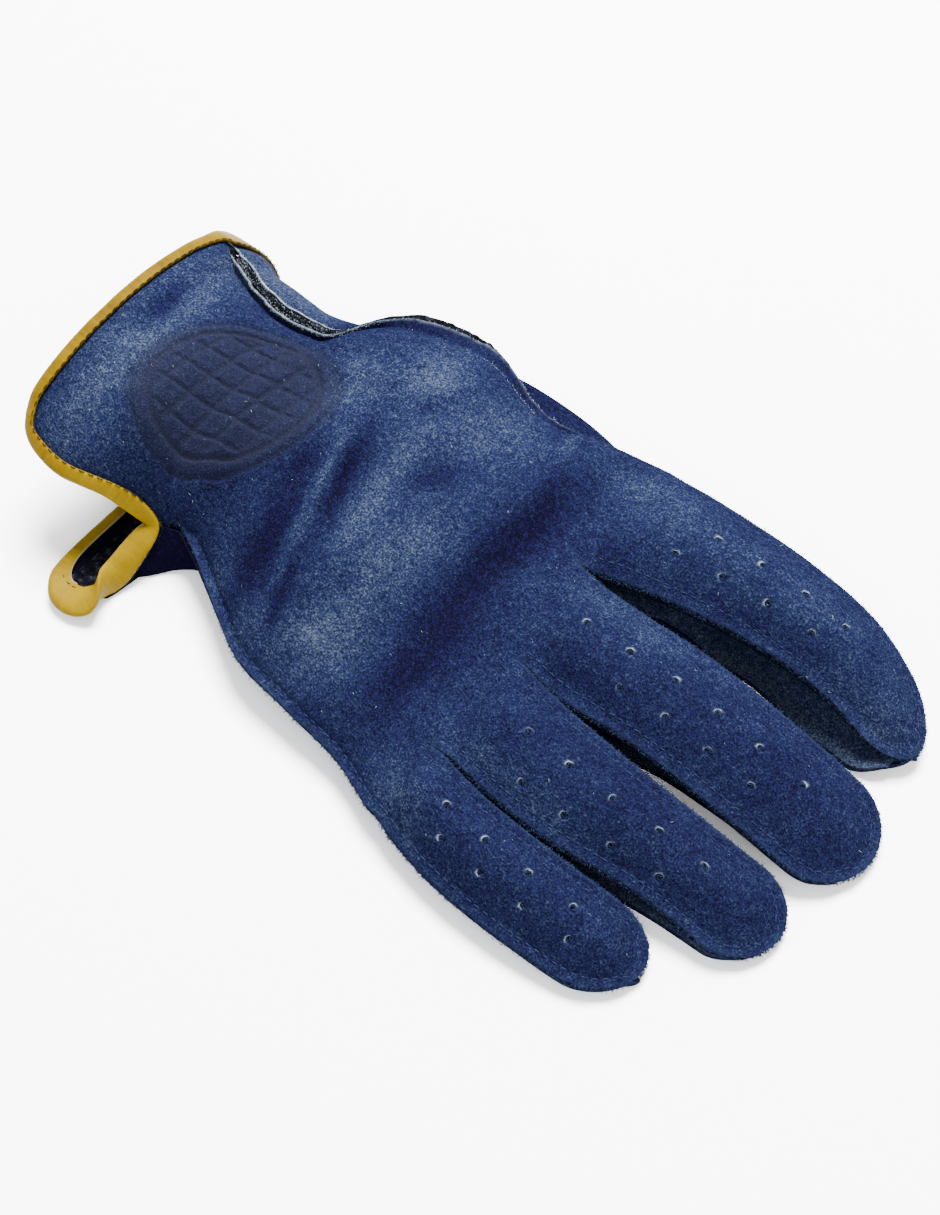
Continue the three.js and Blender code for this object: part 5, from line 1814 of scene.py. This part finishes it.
def fibres(roots, out, ahead, length, spread, sag):
    """Bent fibres of three points from roots, leaning out with random spread."""
    count = len(roots)
    way = unit(out + ahead * random.normal(0, spread, (count, 1))
               + random.normal(0, spread * 0.6, (count, 3)))
    bend = random.normal(0, 0.35, (count, 3)) + [0, 0, -sag]
    size = random.uniform(*length, (count, 1))
    return np.stack([roots, roots + way * size * 0.5, roots + (way + bend * 0.5) * size], 1)


def edge_fibres(path, per_mm, length, side=1.0, spread=0.7):
    """Fibres that stand out of a cut edge on the side that lies right of its path."""
    measured = path_length(path)
    count = int(measured[-1] * per_mm)
    at = np.sort(random.uniform(0, measured[-1], count))
    roots = along_path(path, measured, at)
    ahead = unit(along_path(np.gradient(path, axis=0), measured, at))
    out = unit(np.stack([ahead[:, 1], -ahead[:, 0], 0 * at], 1)) * side
    roots = roots - out * random.uniform(0, 0.4, (count, 1))
    roots[:, 2] -= random.uniform(0.0, LEATHER, count)
    return fibres(roots, out, ahead, length, spread, 0.1)


def finger_edge(k):
    f = finger_rows(k)
    low = finger_back(k, -1.0, f)
    tip = finger_back(k, np.linspace(-1, 1, 9)[1:-1], 1.0)
    high = finger_back(k, 1.0, f)[::-1]
    return np.concatenate([low, tip, high])


def seam_lint():
    tufts = [edge_fibres(finger_edge(k), **OUTER_LINT) for k in range(4)]
    tufts += [edge_fibres(finger_edge(k), **INNER_LINT) for k in range(4)]
    ulnar = back_point(0.0, np.linspace(0.27, 1, 160))
    tufts.append(edge_fibres(ulnar, **OUTER_LINT))
    radial = back_point(4.0, np.linspace(0.75, 1, 60))
    tufts.append(edge_fibres(radial, **OUTER_LINT, side=-1.0))
    return np.concatenate(tufts)


def wrist_lint():
    """Pale fibres along the outseam's two bare edges."""
    v = np.linspace(0.04, 0.78, 260)
    edges = (back_point(4.0, v), palm_point(5.0, v))
    tufts = [edge_fibres(edge, **BARE_LINT) for edge in edges]
    root = back_point(4 - BRIM_SHARE, np.linspace(0.36, 0.74, 130)) + [0, 0, LEATHER / 2]
    tufts.append(edge_fibres(root, **ROOT_LINT))
    return np.concatenate(tufts)


def nap_lint(count):
    """Single fibres that lie over the back's nap."""
    chosen = random.choice(len(back.points), count, replace=False)
    roots, normals = back.points[chosen], back.normals[chosen]
    nap_way = unit(NAP_WAY - normals * col(normals @ NAP_WAY))
    return fibres(roots, nap_way + normals * 0.35, normals * 0.3, (0.4, 1.0), 0.8, 0.25)


def hole_lint():
    """Fibres that lean into the perforations and half fill them."""
    tufts = []
    for centre in HOLES:
        near = back.points - centre
        normal = back.normals[np.argmin(np.linalg.norm(near, axis=1))]
        angle = random.uniform(0, 2 * math.pi, PERFORATION["fibres"])
        aside = unit(np.cross(normal, [1.0, 0.0, 0.0]))
        spoke = aside * col(np.cos(angle)) + np.cross(normal, aside) * col(np.sin(angle))
        roots = centre + spoke * PERFORATION["radius"]
        roots = roots - normal * random.uniform(0.1, 0.6, (PERFORATION["fibres"], 1))
        tufts.append(fibres(roots, -spoke, np.cross(normal, spoke), (0.5, 1.3), 0.6, 0.0))
    return np.concatenate(tufts)


def binding_lint():
    """Dark bits of suede that curl over the binding's edge on the back."""
    count = 2 * len(binding["middle"])
    chosen = random.integers(0, len(binding["middle"]), count)
    inward, up = binding["inward"][chosen], binding["up"][chosen]
    roots = (
        binding["middle"][chosen] + inward * col(binding["outer"][chosen] + 0.1)
        + up * binding["full"] * 0.6
    )
    ahead = np.cross(up, inward)
    return fibres(roots, up - 0.4 * inward, ahead, (0.25, 0.75), 0.8, 0.0)


def fleece_lint(per_row):
    """Black fibres that stand out of the welt between the outseam's two edges."""
    x = np.repeat(np.arange(CUFF_X + 8, WELT_END_X - 2, 0.25), per_row)
    place = radial_frame(x)
    across = random.uniform(0.25, 0.75, (len(x), 1))
    roots = space(x, lerp(place["edge"], place["palm_edge"], across))
    out = space(0 * x, unit(place["out"] + 0 * place["edge"]))
    return fibres(roots - out * 0.3, out, np.array([1.0, 0, 0]), (0.3, 0.9), 0.8, 0.0)


def lint_piece(name, paths, radius, material, slot):
    taper = np.array([1.0, 0.85, 0.35]) * radius
    marks = {"shade": random.uniform(0, 1, len(paths))}
    dress(strands(name, paths, taper, 4, material, marks), slot)


lint_piece("seam_lint", seam_lint(), 0.08, NAVY_LINT, "suede")
lint_piece("wrist_lint", wrist_lint(), 0.05, PALE_LINT, "suede")
lint_piece("nap_lint", nap_lint(6000), 0.045, NAVY_LINT, "suede")
lint_piece("pale_bits", nap_lint(150), 0.04, PALE_LINT, "suede")
lint_piece("hole_lint", hole_lint(), 0.05, NAVY_LINT, "suede")
lint_piece("binding_lint", binding_lint(), 0.06, BLACK_LINT, "binding")
lint_piece("fleece_lint", fleece_lint(4), 0.06, BLACK_LINT, "fleece")
lint_piece("fleece_grey_lint", fleece_lint(3), 0.05, PALE_LINT, "fleece")


# Stage: a pale table, soft light from above and the photo's camera


# Two white lamps in metres and watts, both turned to the glove
LAMPS = [
    {"name": "window", "at": (-0.3, 0.6, 1.45), "size": 0.8, "power": 250.0},
    {"name": "fill", "at": (0.9, -0.7, 1.2), "size": 1.2, "power": 24.0},
]


def area_light(name, at, size, power):
    light = bpy.data.lights.new(name, "AREA")
    light.shape = "DISK"
    light.size = size
    light.energy = power
    lamp = bpy.data.objects.new(name, light)
    lamp.location = at
    lamp.rotation_mode = "QUATERNION"
    lamp.rotation_quaternion = (-Vector(at)).to_track_quat("-Z", "Y")
    bpy.context.scene.collection.objects.link(lamp)


def pale_table():
    """Matt white card: nearly white, a little shade under the glove."""
    material, tree = new_material("white_card")
    place = node(tree, "TexCoord", out="Object")
    grain = node(tree, "TexNoise", {
        "Vector": place, "Scale": 1 / (GRAIN["card"] * MM), "Detail": 2.0, "Roughness": 0.6,
    })
    colour = node(tree, "ValToRGB", {"Fac": grain}, stops=[(0.3, "#f2f2f3"), (0.7, "#f6f6f7")])
    finish_material(tree, {
        "Base Color": colour, "Roughness": 0.7, "IOR": 1.45, "Specular IOR Level": 0.2,
    }, grain, 0.02)
    size = 3000.0
    corners = np.array([[-size, -size, 0], [size, -size, 0], [size, size, 0], [-size, size, 0]])
    floor = make_piece("table", corners, np.array([[0, 1, 2, 3]]), material)


CAMERA = {"azimuth": 41.2, "elevation": 57.0, "distance": 0.5, "lens": 59.02, "height": 0.02}


def photo_camera():
    data = bpy.data.cameras.new("photo_camera")
    data.sensor_fit = "AUTO"
    data.sensor_width = 36.0
    data.lens = CAMERA["lens"]
    camera = bpy.data.objects.new("photo_camera", data)
    a, e = math.radians(CAMERA["azimuth"]), math.radians(CAMERA["elevation"])
    back_way = Vector((math.sin(a) * math.cos(e), -math.cos(a) * math.cos(e), math.sin(e)))
    target = Vector(PATTERN_ORIGIN * MM) + Vector((0, 0, CAMERA["height"]))
    camera.location = target + back_way * CAMERA["distance"]
    camera.rotation_mode = "QUATERNION"
    camera.rotation_quaternion = (-back_way).to_track_quat("-Z", "Y")
    bpy.context.scene.collection.objects.link(camera)
    bpy.context.scene.camera = camera


def soft_room():
    world = bpy.data.worlds.new("soft_room")
    bpy.context.scene.world = world
    world.use_nodes = True
    background = world.node_tree.nodes["Background"]
    background.inputs["Color"].default_value = linear("#f4f6fa")
    background.inputs["Strength"].default_value = 2.0


soft_room()
pale_table()
for lamp in LAMPS:
    area_light(**lamp)
photo_camera()
